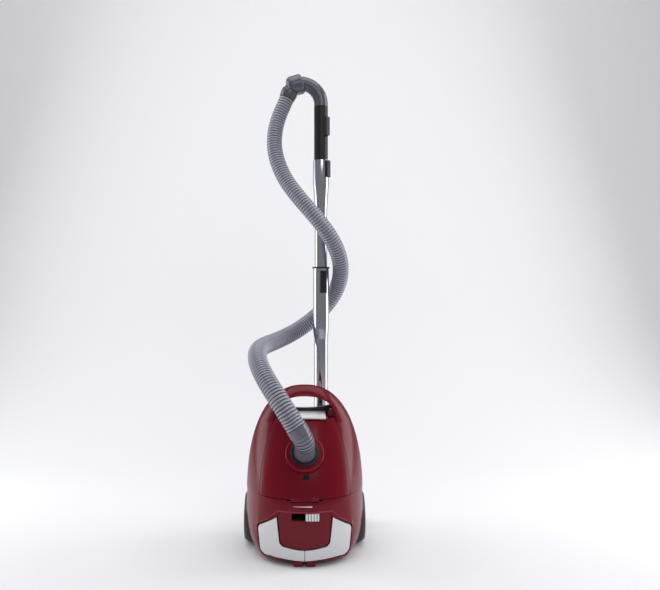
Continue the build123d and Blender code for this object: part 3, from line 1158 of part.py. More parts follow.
# Motor, fan and seals
can = tube(0, MOTOR_Y, MOTOR_LOW, FAN_LOW + 4, MOTOR_R, MOTOR_R - 3)
can += tube(0, MOTOR_Y, FAN_LOW, PARTITION_Z - MOTOR_SEAL_T, FAN_R, FAN_R - 2.5)
can += tube(0, MOTOR_Y, MOTOR_LOW, MOTOR_LOW + 5, MOTOR_R, SHAFT_R + FIT)
can += tube(0, MOTOR_Y, FAN_LOW, FAN_LOW + 5, FAN_R, SHAFT_R + FIT)
can += tube(0, MOTOR_Y, PARTITION_Z - MOTOR_SEAL_T - 3, PARTITION_Z - MOTOR_SEAL_T, FAN_R, 26)
for i in range(6):
    turn = math.radians(60 * i + 30)
    can -= rod((0, MOTOR_Y, FAN_LOW - 14), (60 * math.cos(turn), MOTOR_Y + 60 * math.sin(turn),
        FAN_LOW - 14), 6)
save(can, "motor_can")
shaft = rod((0, MOTOR_Y, MOTOR_LOW - 4), (0, MOTOR_Y, FAN_LOW + 34), SHAFT_R)
shaft += rod((0, MOTOR_Y, MOTOR_LOW + 12), (0, MOTOR_Y, FAN_LOW - 10), ROTOR_R)
save(shaft, "motor_rotor")
fan = rod((0, MOTOR_Y, FAN_LOW + 10), (0, MOTOR_Y, FAN_LOW + 12), FAN_R - 6)
fan += rod((0, MOTOR_Y, FAN_LOW + 10), (0, MOTOR_Y, FAN_LOW + 30), 10)
for i in range(9):
    turn = 40.0 * i
    blade = Pos(0, MOTOR_Y, FAN_LOW + 19) * Rot(0, 0, turn) * Pos(28, 0, 0) * Box(38, 1.6, 16)
    fan += blade
fan -= rod((0, MOTOR_Y, FAN_LOW), (0, MOTOR_Y, FAN_LOW + 40), SHAFT_R)
save(fan, "fan_wheel")
save(tube(0, MOTOR_Y, TAIL_Z + WALL, MOTOR_LOW, MOTOR_R - 6, 20), "motor_foot")
save(tube(0, MOTOR_Y, PARTITION_Z - MOTOR_SEAL_T, PARTITION_Z, FAN_R - 6, 34), "motor_seal")

# Partition between the motor and the dust chamber, with the filter, the bag and its holder on it
wall_z = PARTITION_Z + PARTITION_T
part_half = crease_x(wall_z) - 0.05
flange_back = crease_y(wall_z) + LID_FLANGE + 3
partition = block(-part_half, part_half, flange_back, PARTING_Y, PARTITION_Z, wall_z)
partition += block(-part_half + 8, part_half - 8, PARTING_Y - 1, UNDERSIDE_Y - WALL - PARTITION_EASE,
                   PARTITION_Z, wall_z)
chamber = front_form(PARTITION_Z - 2, wall_z + 2, LID_GAP, WALL + 2, 160, 2)
partition += block(-part_half, part_half, PARTITION_FRONT, flange_back + 1, PARTITION_Z, wall_z) & chamber
partition -= rod((0, MOTOR_Y, PARTITION_Z - 5), (0, MOTOR_Y, wall_z + 5), 32)
save(partition, "partition")
save(Pos(0, MOTOR_Y, wall_z + 4) * Cylinder(46, 8), "motor_filter")
holder_plane = Plane(origin=along_inlet(-BAG_SEAT), x_dir=(1, 0, 0), z_dir=INLET_AXIS)
holder = holder_plane * Box(2 * HOLDER_HALF, 84, 3)
holder -= rod(along_inlet(-BAG_SEAT - 10), along_inlet(-BAG_SEAT + 10), 21)
for side in (-1, 1):
    x0, x1 = sorted((side * (HOLDER_HALF - 8), side * HOLDER_HALF))
    leg = block(x0, x1, PARTITION_FRONT + 1, PARTITION_FRONT + 9, wall_z, INLET.Z - 48)
    holder += leg
save(holder, "bag_holder")
bag = block(-BAG_HALF, BAG_HALF, -125, BAG_BACK_Y, wall_z + 8, BAG_TOP)
bag = fillet(bag.edges().filter_by(Axis.Y), 16.0)
bag -= Plane(origin=along_inlet(-BAG_SEAT - 1.5), x_dir=(1, 0, 0), z_dir=INLET_AXIS) * Box(
    500, 500, 300, align=(Align.CENTER, Align.CENTER, Align.MIN))
save(bag, "dust_bag")

# Cord reel on its spindle, without the mains cord
reel = rod((0, REEL_LOW_Y, REEL_Z), (0, REEL_LOW_Y + 3, REEL_Z), REEL_R)
reel += rod((0, REEL_HIGH_Y - 3, REEL_Z), (0, REEL_HIGH_Y, REEL_Z), REEL_R)
reel += rod((0, REEL_LOW_Y, REEL_Z), (0, REEL_HIGH_Y, REEL_Z), REEL_CORE_R)
reel -= rod((0, REEL_LOW_Y - 5, REEL_Z), (0, REEL_HIGH_Y + 5, REEL_Z), SPINDLE_R + FIT)
save(reel, "cord_reel")
spindle = rod((0, REEL_LOW_Y - 3, REEL_Z), (0, UNDERSIDE_Y - WALL - SEAT, REEL_Z), SPINDLE_R)
spindle += rod((0, REEL_HIGH_Y + 0.5, REEL_Z), (0, UNDERSIDE_Y - WALL - SEAT, REEL_Z), 18)
spindle += rod((0, REEL_LOW_Y - 4, REEL_Z), (0, REEL_LOW_Y - 0.5, REEL_Z), 11)
save(spindle, "reel_spindle")

# Control board on bosses behind the deck
board = block(-BOARD_HALF, BOARD_HALF, BOARD_Y, BOARD_Y + 1.6, BOARD_LOW, BOARD_HIGH)
board += block(-20, 10, BOARD_Y + 1.6, BOARD_Y + 14, BOARD_LOW + 8, BOARD_LOW + 26)
board += rod((26, BOARD_Y + 1, BOARD_LOW + 20), (26, BOARD_Y + 20, BOARD_LOW + 20), 7)
save(board, "control_board")

# Hose: straight runs and arcs, ribbed outside, smooth inside


def route_radii(points):
    """Each corner's arc takes 0.45 of its shorter run."""
    radii = []
    for i in range(1, len(points) - 1):
        before = Vector(*points[i]) - Vector(*points[i - 1])
        after = Vector(*points[i + 1]) - Vector(*points[i])
        turn = math.radians(before.get_angle(after))
        radii.append(0.45 * min(before.length, after.length) / math.tan(turn / 2))
    return radii


hose_radii = route_radii(HOSE_ROUTE)
hose_path = FilletPolyline(*HOSE_ROUTE, radius=hose_radii)
hose_length = hose_path.length
rib_count = min(200, int((hose_length - 2 * HOSE_R_INLET) / RIB_PITCH))
rib_start = (hose_length - rib_count * RIB_PITCH) / 2


def hose_planes(distances):
    """Planes across the hose whose X axis turns as little as possible from one to the next."""
    x_dir = Vector(0, 1, 0)
    planes = []
    for distance in distances:
        share = min(max(distance / hose_length, 0), 1)
        along = hose_path % share
        x_dir = (x_dir - along * x_dir.dot(along)).normalized()
        planes.append(Plane(origin=hose_path @ share, x_dir=x_dir, z_dir=along))
    return planes


def hose_radius(distance):
    return HOSE_R_HANDLE + (HOSE_R_INLET - HOSE_R_HANDLE) * distance / hose_length


hose_stops = [(0, RIB_DEPTH)]
for i in range(rib_count):
    for share, drop in ((0.1, RIB_DEPTH), (0.3, 0), (0.65, 0), (0.85, RIB_DEPTH)):
        hose_stops.append((rib_start + (i + share) * RIB_PITCH, drop))
hose_stops.append((hose_length, RIB_DEPTH))
stop_planes = hose_planes([distance for distance, drop in hose_stops])
hose = loft([plane * Circle(hose_radius(distance) - drop) for plane,
    (distance, drop) in zip(stop_planes, hose_stops)],
            ruled=True)
bore_planes = hose_planes([hose_length * i / BORE_STEPS for i in range(BORE_STEPS + 1)])
hose -= loft([plane * Circle(HOSE_BORE_R) for plane in bore_planes], ruled=True)
print("hose length", round(hose_length, 1), "ribs", rib_count, "radii", [round(r) for r in hose_radii])
save(hose, "hose")
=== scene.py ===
# %% [markdown]
# # A canister vacuum cleaner, parked upright with its wand
#
# The cleaner stands on its tail with the wand hooked on behind it, and the hose winds once round
# the wand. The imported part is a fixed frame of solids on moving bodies. Here every solid gets a
# smooth skin and a finish, the hose gets its ribs, and a soft studio and the photograph's camera
# are set around them. All lengths are metres, in the frame's own axes: +Z is up, and the lid faces
# -Y, where the camera stands.

import json
import math

import bpy
import numpy as np
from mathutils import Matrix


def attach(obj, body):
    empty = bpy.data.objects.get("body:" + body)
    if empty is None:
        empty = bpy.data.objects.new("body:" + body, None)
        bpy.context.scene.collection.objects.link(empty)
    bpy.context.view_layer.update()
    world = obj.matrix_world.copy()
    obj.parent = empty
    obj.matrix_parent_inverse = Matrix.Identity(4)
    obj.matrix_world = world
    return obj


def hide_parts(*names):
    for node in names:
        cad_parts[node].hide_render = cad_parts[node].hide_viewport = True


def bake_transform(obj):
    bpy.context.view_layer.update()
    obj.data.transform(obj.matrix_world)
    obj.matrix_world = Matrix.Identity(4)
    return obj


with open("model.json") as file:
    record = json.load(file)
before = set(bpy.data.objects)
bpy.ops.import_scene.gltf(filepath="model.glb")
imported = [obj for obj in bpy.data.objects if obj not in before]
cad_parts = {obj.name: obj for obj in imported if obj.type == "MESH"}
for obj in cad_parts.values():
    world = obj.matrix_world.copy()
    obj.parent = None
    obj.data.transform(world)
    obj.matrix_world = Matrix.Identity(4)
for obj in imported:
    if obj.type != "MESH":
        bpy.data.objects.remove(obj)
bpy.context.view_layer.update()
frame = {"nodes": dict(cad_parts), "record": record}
scene = bpy.context.scene


# %% [markdown]
# ## Shader arithmetic
#
# A pattern on a surface is a formula on the surface's coordinates. It could be drawn as nodes by
# hand, but a formula in Python is easier to read and to change. A Field wraps one output socket,
# and each operator on it adds its Math nodes.

# %% Fields
# A Mix node has sockets for numbers, vectors and colours side by side. Five inputs lie between its
# factor and its two colours, and its third output is the mixed colour.
MIX_INPUTS_BETWEEN = 5
MIX_COLOUR = 2


class Field:
    """A value that varies over a surface: one output socket and the tree that it belongs to."""

    def __init__(self, tree, socket):
        self.tree = tree
        self.socket = socket

    def node(self, kind, *inputs, out=0, **settings):
        """One node of any kind: its settings first, then its inputs in order. None leaves an input
        as it is, and out is the number or the name of the output."""
        made = self.tree.nodes.new(kind)
        for key, value in settings.items():
            setattr(made, key, value)
        for slot, value in zip(made.inputs, inputs):
            if isinstance(value, Field):
                self.tree.links.new(value.socket, slot)
            elif value is not None:
                slot.default_value = value
        return Field(self.tree, made.outputs[out])

    def maths(self, operation, *others):
        """One Math node, on this field and any others that the operation takes."""
        return self.node("ShaderNodeMath", self, *others, operation=operation)

    def __add__(self, other):
        return self.maths("ADD", other)

    def __sub__(self, other):
        return self.maths("SUBTRACT", other)

    def __mul__(self, other):
        return self.maths("MULTIPLY", other)

    def __truediv__(self, other):
        return self.maths("DIVIDE", other)

    __radd__ = __add__
    __rmul__ = __mul__

    def __rsub__(self, other):
        return self.maths("MULTIPLY", -1.0) + other

    def __rtruediv__(self, other):
        return self.maths("POWER", -1.0) * other

    def __abs__(self):
        return self.maths("ABSOLUTE")

    def above(self, low):
        """This field, or low where it is less."""
        return self.maths("MAXIMUM", low)

    def step(self, low, high):
        """0 below low, 1 above high, and a straight rise between them."""
        return ((self - low) / (high - low)).above(0.0).maths("MINIMUM", 1.0)

    def band(self, half, edge):
        """1 where this field is within half of 0, and 0 from half + edge on."""
        return 1.0 - abs(self).step(half, half + edge)

    def mix(self, first, second):
        """The colour first where this field is 0, second where it is 1."""
        between = [None] * MIX_INPUTS_BETWEEN
        return self.node("ShaderNodeMix", self, *between, first, second, out=MIX_COLOUR, data_type="RGBA")

    def axes(self):
        """The X, Y and Z of a place, each as a field."""
        return (self.node("ShaderNodeSeparateXYZ", self, out=axis) for axis in "XYZ")


# %% [markdown]
# ## Finishes
#
# The object is nearly all moulded plastic: deep red gloss, dark and black mouldings, a slate
# handle, and chromed tubes. One function makes a principled surface from constant values. Where
# something varies over the surface, a small paint function gets the surface's Object coordinates
# and returns the fields to plug in. That is chosen over pictures, because a formula stays sharp at
# any distance and needs no unwrapping.

# %% Finish maker
COAT_ROUGHNESS = 0.06


def linear(red, green, blue):
    """A screen colour from 0 to 255 as the linear colour that the renderer works in. By the sRGB
    curve, a share s of 255 is s / 12.92 where it is dark, and ((s + 0.055) / 1.055) to the power of
    2.4 elsewhere."""
    share = np.array([red, green, blue]) / 255
    light = np.where(share <= 0.04045, share / 12.92, ((share + 0.055) / 1.055) ** 2.4)
    return (*light.tolist(), 1.0)


def finish(name, colour, roughness, metallic=0.0, coat=0.0, shine=0.5, paint=None):
    """A principled material; paint(place) returns {input name: field} for what varies."""
    made = bpy.data.materials.new(name)
    made.use_nodes = True
    tree = made.node_tree
    surface = tree.nodes["Principled BSDF"]
    surface.inputs["Base Color"].default_value = colour
    surface.inputs["Roughness"].default_value = roughness
    surface.inputs["Metallic"].default_value = metallic
    surface.inputs["Coat Weight"].default_value = coat
    surface.inputs["Coat Roughness"].default_value = COAT_ROUGHNESS
    surface.inputs["Specular IOR Level"].default_value = shine
    if paint:
        place = Field(tree, None).node("ShaderNodeTexCoord", out="Object")
        for key, field in paint(place).items():
            tree.links.new(field.socket, surface.inputs[key])
    return made


# %% [markdown]
# ### The red body
#
# The upper shell is moulded in a deep red gloss. A fine seam runs round it where the lid's panel
# meets the tail deck, a paler red line over the slider and the pedals is a painted highlight where a
# moulded brow catches the light, and a small white wedge stands for the power scale. They are too
# fine to model and follow simple heights, so each one is a band of colour about a height. SOFT is the width
# over which a band's edge fades.

# %% Red gloss
WHITE = linear(235, 235, 235)
RED = linear(112, 2, 26)
RED_SEAM = linear(30, 1, 8)
# A paler red, painted along the brow as a highlight.
RED_BROW_HIGHLIGHT = linear(168, 40, 58)
SOFT = 0.0004
SEAM_Z = 0.143
SEAM_HALF = 0.0004
WEDGE_X = (-0.024, 0.0155)
WEDGE_Y = -0.150
WEDGE_Z = 0.130
WEDGE_THIN = 0.0002
WEDGE_THICK = 0.0011
WEDGE_SOFT = SOFT / 2
BROW_LEVEL = 0.056
BROW_END = 0.104
BROW_Y = -0.090
BROW_Z = 0.1185
BROW_FALL = 0.80
BROW_HALF = 1.5 * SOFT
BROW_SOFT = 2 * SOFT
BROW_FADE_X = 10 * SOFT
BROW_FADE_Y = 5 * SOFT


def power_wedge(x, y, z):
    """1 on a wedge between two X: its half height rises from thin to thick along X. Only the deck,
    in front of WEDGE_Y, carries it."""
    low, high = WEDGE_X
    half = x.step(low, high) * (WEDGE_THICK - WEDGE_THIN) + WEDGE_THIN
    inside = (x - (low + high) / 2).band((high - low) / 2, SOFT)
    filled = 1.0 - (abs(z - WEDGE_Z) - half).step(0.0, WEDGE_SOFT)
    return filled * inside * (1.0 - y.step(WEDGE_Y, WEDGE_Y + SOFT))


def brow_highlight(x, y, z):
    """1 along the brow, where a paler red is painted as a highlight. Its height is BROW_Z - BROW_FALL ·
    max(|x| - BROW_LEVEL, 0), so it is level over the slider and falls along both pedals. Only the front,
    before BROW_Y, has it."""
    fall = (abs(x) - BROW_LEVEL).above(0.0) * BROW_FALL
    ends = x.band(BROW_END, BROW_FADE_X) * (1.0 - y.step(BROW_Y, BROW_Y + BROW_FADE_Y))
    return (z - BROW_Z + fall).band(BROW_HALF, BROW_SOFT) * ends


def red_paint(place):
    """Deep red, darker along the seam, with a painted highlight along the brow and white on the wedge."""
    x, y, z = place.axes()
    shell = (z - SEAM_Z).band(SEAM_HALF, SOFT).mix(RED, RED_SEAM)
    # The painted highlight along the brow.
    shell = brow_highlight(x, y, z).mix(shell, RED_BROW_HIGHLIGHT)
    return {"Base Color": power_wedge(x, y, z).mix(shell, WHITE)}


red_gloss = finish("red gloss", RED, roughness=0.24, coat=0.12, shine=0.2, paint=red_paint)
print("red gloss, nodes:", len(red_gloss.node_tree.nodes))

# %% [markdown]
# ### The hose and its cuffs
#
# The hose is pale silver on its ribs, and its grooves are darkened with painted shade. A pattern on
# Object coordinates would not follow its bends, so its mesh carries an attribute, crest, that is 1 on
# a rib and 0 in a groove, and the colour reads it. The elbow and the collar at the inlet have their
# grooves in the solid and are one plain grey.

# %% Hose finishes
# The first colour is painted shade for the grooves between the ribs.
HOSE_GROOVE_SHADE = linear(30, 30, 36)
HOSE_HIGH = linear(152, 152, 165)
CREST_FADE = (0.1, 0.85)


def rib_shade_paint(place):
    """Hose colour from the crest attribute: painted shade in the grooves, pale silver on the ribs."""
    crest = place.node("ShaderNodeAttribute", attribute_name="crest", out="Fac")
    return {"Base Color": crest.step(*CREST_FADE).mix(HOSE_GROOVE_SHADE, HOSE_HIGH)}


hose_silver = finish("hose", HOSE_HIGH, roughness=0.34, metallic=0.30, coat=0.15, paint=rib_shade_paint)
cuff_grey = finish("hose cuff", linear(116, 116, 128), roughness=0.34, metallic=0.30, coat=0.15)
print("hose, nodes:", len(hose_silver.node_tree.nodes), "cuff, nodes:", len(cuff_grey.node_tree.nodes))

# %% [markdown]
# ### Dark mouldings
#
# The base, the wheels, the grip and the other dark pieces have a fine grain from their mould. It is
# finer than any mesh here, so noise drives a bump instead of moving the surface.

# %% Moulded grain
GRAIN = 1400.0
GRAIN_DETAIL = 2.0
GRAIN_STRENGTH = 0.08
GRAIN_DEPTH = 0.0004


def moulded_paint(place):
    """A fine moulded grain: noise as the height of a bump."""
    grain = place.node("ShaderNodeTexNoise", place, None, GRAIN, GRAIN_DETAIL)
    return {"Normal": place.node("ShaderNodeBump", GRAIN_STRENGTH, GRAIN_DEPTH, None, grain)}


dark_moulding = finish("dark moulding", linear(52, 52, 56), roughness=0.45, paint=moulded_paint)
black_moulding = finish("black moulding", linear(20, 20, 23), roughness=0.42, shine=0.4, paint=moulded_paint)
print("mouldings, nodes:", len(dark_moulding.node_tree.nodes), len(black_moulding.node_tree.nodes))

# %% [markdown]
# ### Slider and dust bag
#
# The power slider has finger grooves. They could be cut into its mesh, but they are as fine as the
# picture's own pixels, so they are grey bands of painted shade on the white. The dust bag inside is
# tan paper, and a soft mottle keeps it from looking like plastic.

# %% Slider and bag finishes
GROOVE_PITCH = 0.006
# Painted shade for the finger grooves.
GROOVE_SHADE = linear(120, 120, 124)
GROOVE_FADE = (0.45, 0.75)
MOTTLE = 60.0
MOTTLE_DETAIL = 4.0
BAG_DARK = linear(196, 178, 146)
BAG_PALE = linear(222, 206, 176)


def groove_shade_paint(place):
    """White with grey bands of painted shade for grooves where a sine along X is near its top, one in every
    pitch.
    """
    x = place.node("ShaderNodeSeparateXYZ", place, out="X")
    wave = (x * (2 * math.pi / GROOVE_PITCH)).maths("SINE")
    return {"Base Color": wave.step(*GROOVE_FADE).mix(WHITE, GROOVE_SHADE)}


def bag_paint(place):
    """Paper: a soft mottle between two tans."""
    mottle = place.node("ShaderNodeTexNoise", place, None, MOTTLE, MOTTLE_DETAIL)
    return {"Base Color": mottle.mix(BAG_DARK, BAG_PALE)}


grooved_white = finish("grooved white", WHITE, roughness=0.25, coat=0.3, paint=groove_shade_paint)
bag_paper = finish("paper bag", linear(210, 192, 160), roughness=0.85, paint=bag_paint)
print("slider, nodes:", len(grooved_white.node_tree.nodes), "bag, nodes:", len(bag_paper.node_tree.nodes))

# %% [markdown]
# ### One finish for each slot
#
# Every solid names a material slot in the record. It could be given its finish piece by piece, but
# one table by slot keeps pieces of the same material alike. Three pieces differ from the rest of
# their slot and have a finish of their own.

# %% Finishes by material slot
finishes = {
    "red_shell": red_gloss,
    "dark_shell": dark_moulding,
    "silver_pedals": finish("silver paint", linear(220, 220, 222), roughness=0.30, metallic=0.28, coat=0.3),
    "white_plastic": finish("white gloss", WHITE, roughness=0.25, coat=0.3),
    "black_plastic": black_moulding,
    "slate_plastic": finish("slate moulding", linear(84, 84, 95), roughness=0.30, metallic=0.25, coat=0.3),
    "hose_plastic": hose_silver,
    "chrome_tube": finish("chrome", linear(200, 200, 208), roughness=0.10, metallic=1.0),
    "steel": finish("steel", linear(190, 190, 192), roughness=0.28, metallic=1.0),
    "rubber": finish("rubber", linear(30, 30, 31), roughness=0.65),
    "filter": finish("filter", linear(226, 226, 220), roughness=0.90),
    "bag": bag_paper,
    "board": finish("board", linear(30, 92, 48), roughness=0.40),
    "window": finish("window", linear(8, 8, 9), roughness=0.35, shine=0.2),
}
own_finishes = {"power_slider": grooved_white, "inlet_elbow": cuff_grey, "hose_collar": cuff_grey}
print("slots:", len(finishes), "pieces with their own finish:", len(own_finishes))


# %% [markdown]
# ## Smooth skins
#
# A real moulding is smooth up to a crisp edge. Every solid arrives as loose triangles, which would
# shade flat. Its skin has the same triangles with shared corners, shaded smooth except where two
# faces meet at a clear angle. That keeps the exact shape, so that nothing can clash that didn't
# before. The foot pedals also get a narrow bevelled rim, coloured white as a painted highlight.

# %% Mesh helpers
MERGE = 1e-5


def mesh_object(name, points, faces, skin):
    """A mesh from arrays of points and faces, shaded smooth, at the origin."""
    mesh = bpy.data.meshes.new(name)
    mesh.from_pydata(points.tolist(), [], faces.tolist())
    mesh.polygons.foreach_set("use_smooth", np.ones(len(mesh.polygons), dtype=bool))
    mesh.materials.append(skin)
    made = bpy.data.objects.new(name, mesh)
    scene.collection.objects.link(made)
    return made


def joined_triangles(node):
    """A node's triangles as (points, faces). Corners that round to the same multiple of MERGE become
    one, and a triangle that loses a corner that way is left out."""
    source = frame["nodes"][node].data
    source.calc_loop_triangles()
    points = np.empty(len(source.vertices) * 3, np.float32)
    source.vertices.foreach_get("co", points)
    points = points.reshape(-1, 3)
    faces = np.empty(len(source.loop_triangles) * 3, np.int32)
    source.loop_triangles.foreach_get("vertices", faces)
    places = np.round(points / MERGE).astype(np.int64)
    _, first, shared = np.unique(places, axis=0, return_index=True, return_inverse=True)
    faces = shared.reshape(-1)[faces].reshape(-1, 3)
    a, b, c = faces.T
    whole = (a != b) & (b != c) & (c != a)
    return points[first], faces[whole]


# %% Skins for the solids
SHARP = math.radians(32.0)
RIMMED = ("switch_pedal", "rewind_pedal")
RIM = 0.0014
RIM_STEPS = 2
slot_of = {part["node"]: part["material_slot"] for part in frame["record"]["subparts"]}


def add_highlight_rim(skin):
    """A bevel along the skin's sharp edges, coloured white as a painted highlight."""
    # The white on the bevel is a painted highlight.
    skin.data.materials.append(finishes["white_plastic"])
    rim = skin.modifiers.new("rim", "BEVEL")
    rim.width = RIM
    rim.segments = RIM_STEPS
    rim.limit_method = "ANGLE"
    rim.angle_limit = SHARP
    rim.material = 1


def skin_of(node, body):
    """Makes the skin of one solid, riding on its body, and returns its number of triangles."""
    points, faces = joined_triangles(node)
    made = mesh_object(node + "_skin", points, faces, own_finishes.get(node, finishes[slot_of[node]]))
    made.data.set_sharp_from_angle(angle=SHARP)
    if node in RIMMED:
        add_highlight_rim(made)
    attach(made, body)
    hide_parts(node)
    return len(faces)


triangles = {}
for body, members in frame["record"]["behaviour"]["bodies"].items():
    for member in members:
        if member != "hose":
            triangles[member] = skin_of(member, body)
print("skins:", len(triangles), "triangles:", sum(triangles.values()), "most:", max(triangles.values()))


# %% [markdown]
# ## The ribbed hose
#
# The real hose is a thin plastic tube with a rib every few millimetres. It could be a bevelled
# curve, but a bevel has no ribs. So a radius that rises and falls once for every rib is carried
# along the hose's middle line. That line is read from a smooth spline with given control points,
# from the handle's swivel to the inlet elbow. Its first and last point are given twice, so
# that the hose leaves both cuffs straight.

# %% Middle line
ROUTE = np.array([
    (-0.044, 0.110, 1.052), (-0.072, 0.110, 0.988), (-0.076, 0.100, 0.923), (-0.054, 0.084, 0.858),
    (-0.016, 0.062, 0.803), (0.030, 0.054, 0.751), (0.071, 0.071, 0.696), (0.092, 0.106, 0.640),
    (0.082, 0.144, 0.581), (0.042, 0.161, 0.526), (-0.012, 0.144, 0.483), (-0.062, 0.100, 0.459),
    (-0.096, 0.039, 0.450), (-0.108, -0.029, 0.442), (-0.102, -0.092, 0.421), (-0.079, -0.143, 0.387),
    (-0.046, -0.173, 0.343), (-0.017, -0.178, 0.297),
])
SPLINE_ORDER = 3
SPLINE_STEPS = 128
RIB_PITCH = 0.0065
STEPS_PER_RIB = 10


def spline_line(route):
    """Points along the route's NURBS spline, SPLINE_STEPS of them from one control point to the next.
    Order 3 joins parabolas, each from the middle of one run of the route to the middle of the next."""
    control = np.vstack([route[:1], route, route[-1:]])
    curve = bpy.data.curves.new("middle line", "CURVE")
    curve.dimensions = "3D"
    spline = curve.splines.new("NURBS")
    spline.points.add(len(control) - 1)
    spline.points.foreach_set("co", np.column_stack([control, np.ones(len(control))]).ravel())
    spline.order_u = SPLINE_ORDER
    spline.use_endpoint_u = True
    spline.resolution_u = SPLINE_STEPS
    holder = bpy.data.objects.new("middle line", curve)
    wire = bpy.data.meshes.new_from_object(holder)
    points = np.empty(len(wire.vertices) * 3, np.float32)
    wire.vertices.foreach_get("co", points)
    bpy.data.meshes.remove(wire)
    bpy.data.objects.remove(holder)
    bpy.data.curves.remove(curve)
    return points.reshape(-1, 3).astype(float)


def even_line(line, step):
    """The same line as evenly spaced points: (distance along it, points). The distance is the sum of
    the steps so far, and each coordinate is read off at even distances."""
    run = np.concatenate([[0], np.cumsum(np.linalg.norm(np.diff(line, axis=0), axis=1))])
    along = np.linspace(0, run[-1], int(run[-1] / step))
    return along, np.column_stack([np.interp(along, run, line[:, i]) for i in range(3)])


hose_along, hose_line = even_line(spline_line(ROUTE), RIB_PITCH / STEPS_PER_RIB)
hose_length = float(hose_along[-1])
print("hose length:", round(hose_length, 4), "ribs:", round(hose_length / RIB_PITCH))

# %% [markdown]
# A piece of hose is a wall with an outside and a bore. It could be one ribbed surface with a Solidify
# modifier, but that would rib the bore as well, which is smooth in the solid. So rings run along the
# outside and back along the bore, and the last ring joins the first, which closes the piece.

# %% Ribbed pieces
HOSE_R = (0.0186, 0.0218)
BORE_R = 0.0150
RIB_DEPTH = 0.0021
RIB_FULLNESS = 0.75
RING = 56
HOSE_SHARP = math.radians(70.0)


def hose_radius(along):
    """The outside radius over the ribs, which grows evenly from the handle to the inlet."""
    return HOSE_R[0] + (HOSE_R[1] - HOSE_R[0]) * along / hose_length


def rib_height(along):
    """1 on the crest of a rib, 0 in the groove: |sin(π · distance / pitch)|, raised to a power below
    1 for a broad crest and a narrow groove."""
    return np.abs(np.sin(np.pi * along / RIB_PITCH)) ** RIB_FULLNESS


def across_line(along, line):
    """Two unit directions at right angles to the line and to each other, at each of its points.
    The first keeps nearest to the one direction that the line itself follows least, which is the
    eigenvector with the least eigenvalue of the sum of its directions' outer products."""
    ahead = np.gradient(line, along, axis=0)
    ahead /= np.linalg.norm(ahead, axis=1, keepdims=True)
    least = np.linalg.eigh(ahead.T @ ahead)[1][:, 0]
    u = least - ahead * (ahead @ least)[:, None]
    u /= np.linalg.norm(u, axis=1, keepdims=True)
    return u, np.cross(ahead, u)


def ribbed_piece(name, along, line):
    """Rings across the line. A point at angle a is line + r (cos a · u + sin a · v), where u and v
    lie across the line, and r is the ribbed radius on the outside and the bore's on the way back.
    The way back has one ring for each rib."""
    u, v = across_line(along, line)
    angle = np.linspace(0, 2 * np.pi, RING, endpoint=False)
    rim = np.cos(angle)[None, :, None] * u[:, None] + np.sin(angle)[None, :, None] * v[:, None]
    crest = rib_height(along)
    outside = hose_radius(along) - RIB_DEPTH * (1 - crest)
    forth = np.arange(len(along))
    back = np.union1d(forth[::-STEPS_PER_RIB], [0])[::-1]
    order = np.concatenate([forth, back])
    radius = np.concatenate([outside, np.full(len(back), BORE_R)])
    points = line[order][:, None] + radius[:, None, None] * rim[order]
    row = np.arange(len(order))[:, None] * RING
    next_row = np.roll(row, -1, axis=0)
    column = np.arange(RING)[None]
    next_column = (column + 1) % RING
    corners = [row + column, row + next_column, next_row + next_column, next_row + column]
    faces = np.stack(corners, axis=-1).reshape(-1, 4)
    made = mesh_object(name, points.reshape(-1, 3), faces, finishes["hose_plastic"])
    made.data.set_sharp_from_angle(angle=HOSE_SHARP)
    values = made.data.attributes.new("crest", "FLOAT", "POINT")
    values.data.foreach_set("value", np.repeat(crest[order], RING).astype(np.float32))
    return made


# %% [markdown]
# The hose is cut into three pieces, one for each pair of bodies that it runs between: the lid and
# the cleaner, the cleaner and the lower tube, the lower tube and the upper one.

# %% Hose in three pieces
CUTS = (0.31, 0.66)
# A piece's name, the shares of the length where it starts and ends, the body at its still end, the
# body at its moving end, and whether the moving end is its first
spans = (
    ("hose_upper", 0.0, CUTS[0], "wand_outer", "wand_inner", True),
    ("hose_middle", CUTS[0], CUTS[1], "cleaner", "wand_outer", True),
    ("hose_lower", CUTS[1], 1.0, "cleaner", "lid", False),
)
for name, low, high, still, moved, first_moves in spans:
    first = int(np.searchsorted(hose_along, low * hose_length))
    last = int(np.searchsorted(hose_along, high * hose_length))
    along = hose_along[first : last + 1]
    line = hose_line[first : last + 1]
    piece = ribbed_piece(name, along, line)
    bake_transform(piece)
    2 * float(hose_radius(along.mean())) - RIB_DEPTH
    line[:: STEPS_PER_RIB // 2].tolist() + [line[-1].tolist()]
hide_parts("hose")


# %% [markdown]
# ## Studio
#
# The photograph has an even, pale light. A pale sheet runs from the floor up the wall in one sweep,
# so that no edge shows behind the object. Seen from its back it is clear, so that a camera behind
# the wall still sees the object.

# %% Backdrop
SHEET_HALF = 6.0
SHEET_TURN_R = 0.6
SHEET_TURN_STEPS = 24
WALL_Y = 1.25
WALL_TOP = 5.0


def one_sided(sheet):
    """Makes a material clear where a face is seen from its back."""
    tree = sheet.node_tree
    front = Field(tree, tree.nodes["Principled BSDF"].outputs[0])
    back = front.node("ShaderNodeNewGeometry", out="Backfacing")
    seen = front.node("ShaderNodeMixShader", back, front, front.node("ShaderNodeBsdfTransparent"))
    tree.links.new(seen.socket, tree.nodes["Material Output"].inputs["Surface"])
    return sheet


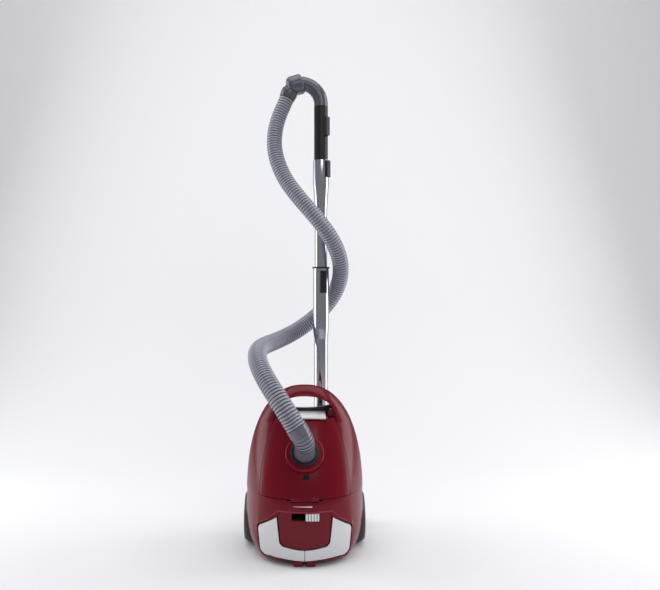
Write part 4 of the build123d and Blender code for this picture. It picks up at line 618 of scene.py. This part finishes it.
def backdrop():
    """A sheet extruded along X: floor, a quarter turn, wall. At an angle a of the turn, whose radius
    is r, the sheet is r (1 - sin a) before the wall and r (1 - cos a) above the floor."""
    turn = np.linspace(0, np.pi / 2, SHEET_TURN_STEPS)
    depth = np.concatenate([[-SHEET_HALF], WALL_Y - SHEET_TURN_R * (1 - np.sin(turn)), [WALL_Y]])
    height = np.concatenate([[0.0], SHEET_TURN_R * (1 - np.cos(turn)), [WALL_TOP]])
    left = np.column_stack([np.full_like(depth, -SHEET_HALF), depth, height])
    right = left * (-1, 1, 1)
    count = len(depth)
    low = np.arange(count - 1)
    faces = np.column_stack([low, low + count, low + count + 1, low + 1])
    paper = one_sided(finish("paper", linear(240, 240, 242), roughness=0.9))
    return mesh_object("backdrop", np.vstack([left, right]), faces, paper)


# %% [markdown]
# Gloss shows the shape of its lights. Small lamps would leave hard spots on the red, so all the
# lights are large soft rectangles: two tall ones, left and right, for the bright bands along the red
# sides, one above, and a weak one that fills the front. A pale sky lifts the shadows.

# %% Lights
SIDE_AIM = (0, -0.10, 0.4)
SIDE_SIZE = (0.7, 2.0)
SKY_COLOUR = (0.95, 0.96, 1.0, 1.0)
SKY_STRENGTH = 0.26


def softbox(name, place, aim, size, power):
    """A rectangular light at place that faces aim: tilted from straight down by the line's angle
    to it, then turned about Z."""
    data = bpy.data.lights.new(name, "AREA")
    data.shape = "RECTANGLE"
    data.size, data.size_y = size
    data.energy = power
    made = bpy.data.objects.new(name, data)
    scene.collection.objects.link(made)
    made.location = place
    x, y, z = np.array(aim) - np.array(place)
    made.rotation_euler = (math.atan2(math.hypot(x, y), -z), 0, math.atan2(-x, y))
    return made


backdrop()
softbox("left", (-1.5, 0.20, 0.9), SIDE_AIM, SIDE_SIZE, power=13)
softbox("right", (1.5, 0.20, 0.9), SIDE_AIM, SIDE_SIZE, power=15)
softbox("above", (0.0, -0.3, 2.6), aim=(0, 0.2, 0.3), size=(2.4, 1.6), power=25)
softbox("front", (0.6, -2.6, 1.9), aim=(0, 0, 0.4), size=(1.6, 1.2), power=11)
world = bpy.data.worlds.new("studio")
scene.world = world
world.use_nodes = True
sky = world.node_tree.nodes["Background"]
sky.inputs["Color"].default_value = SKY_COLOUR
sky.inputs["Strength"].default_value = SKY_STRENGTH
print("lights:", len(bpy.data.lights), "sky:", SKY_STRENGTH)

# %% [markdown]
# The photograph's camera looks level at the object, straight from the front, at about half its
# height. A shift of the lens, and not a turn, puts the object left of the middle, so that uprights
# stay upright.

# %% Camera
CAMERA_PLACE = (0.0, -1.590, 0.569)
LEVEL = (math.pi / 2, 0.0, 0.0)
LENS_MM = 37.69
SENSOR_MM = 36.0
LENS_SHIFT = 0.0383
camera = bpy.data.objects.new("camera", bpy.data.cameras.new("camera"))
scene.collection.objects.link(camera)
camera.location = CAMERA_PLACE
camera.rotation_euler = LEVEL
camera.data.lens = LENS_MM
camera.data.sensor_width = SENSOR_MM
camera.data.shift_x = LENS_SHIFT
scene.camera = camera
scene.view_settings.view_transform = "Standard"
print("camera at:", CAMERA_PLACE, "lens:", LENS_MM)
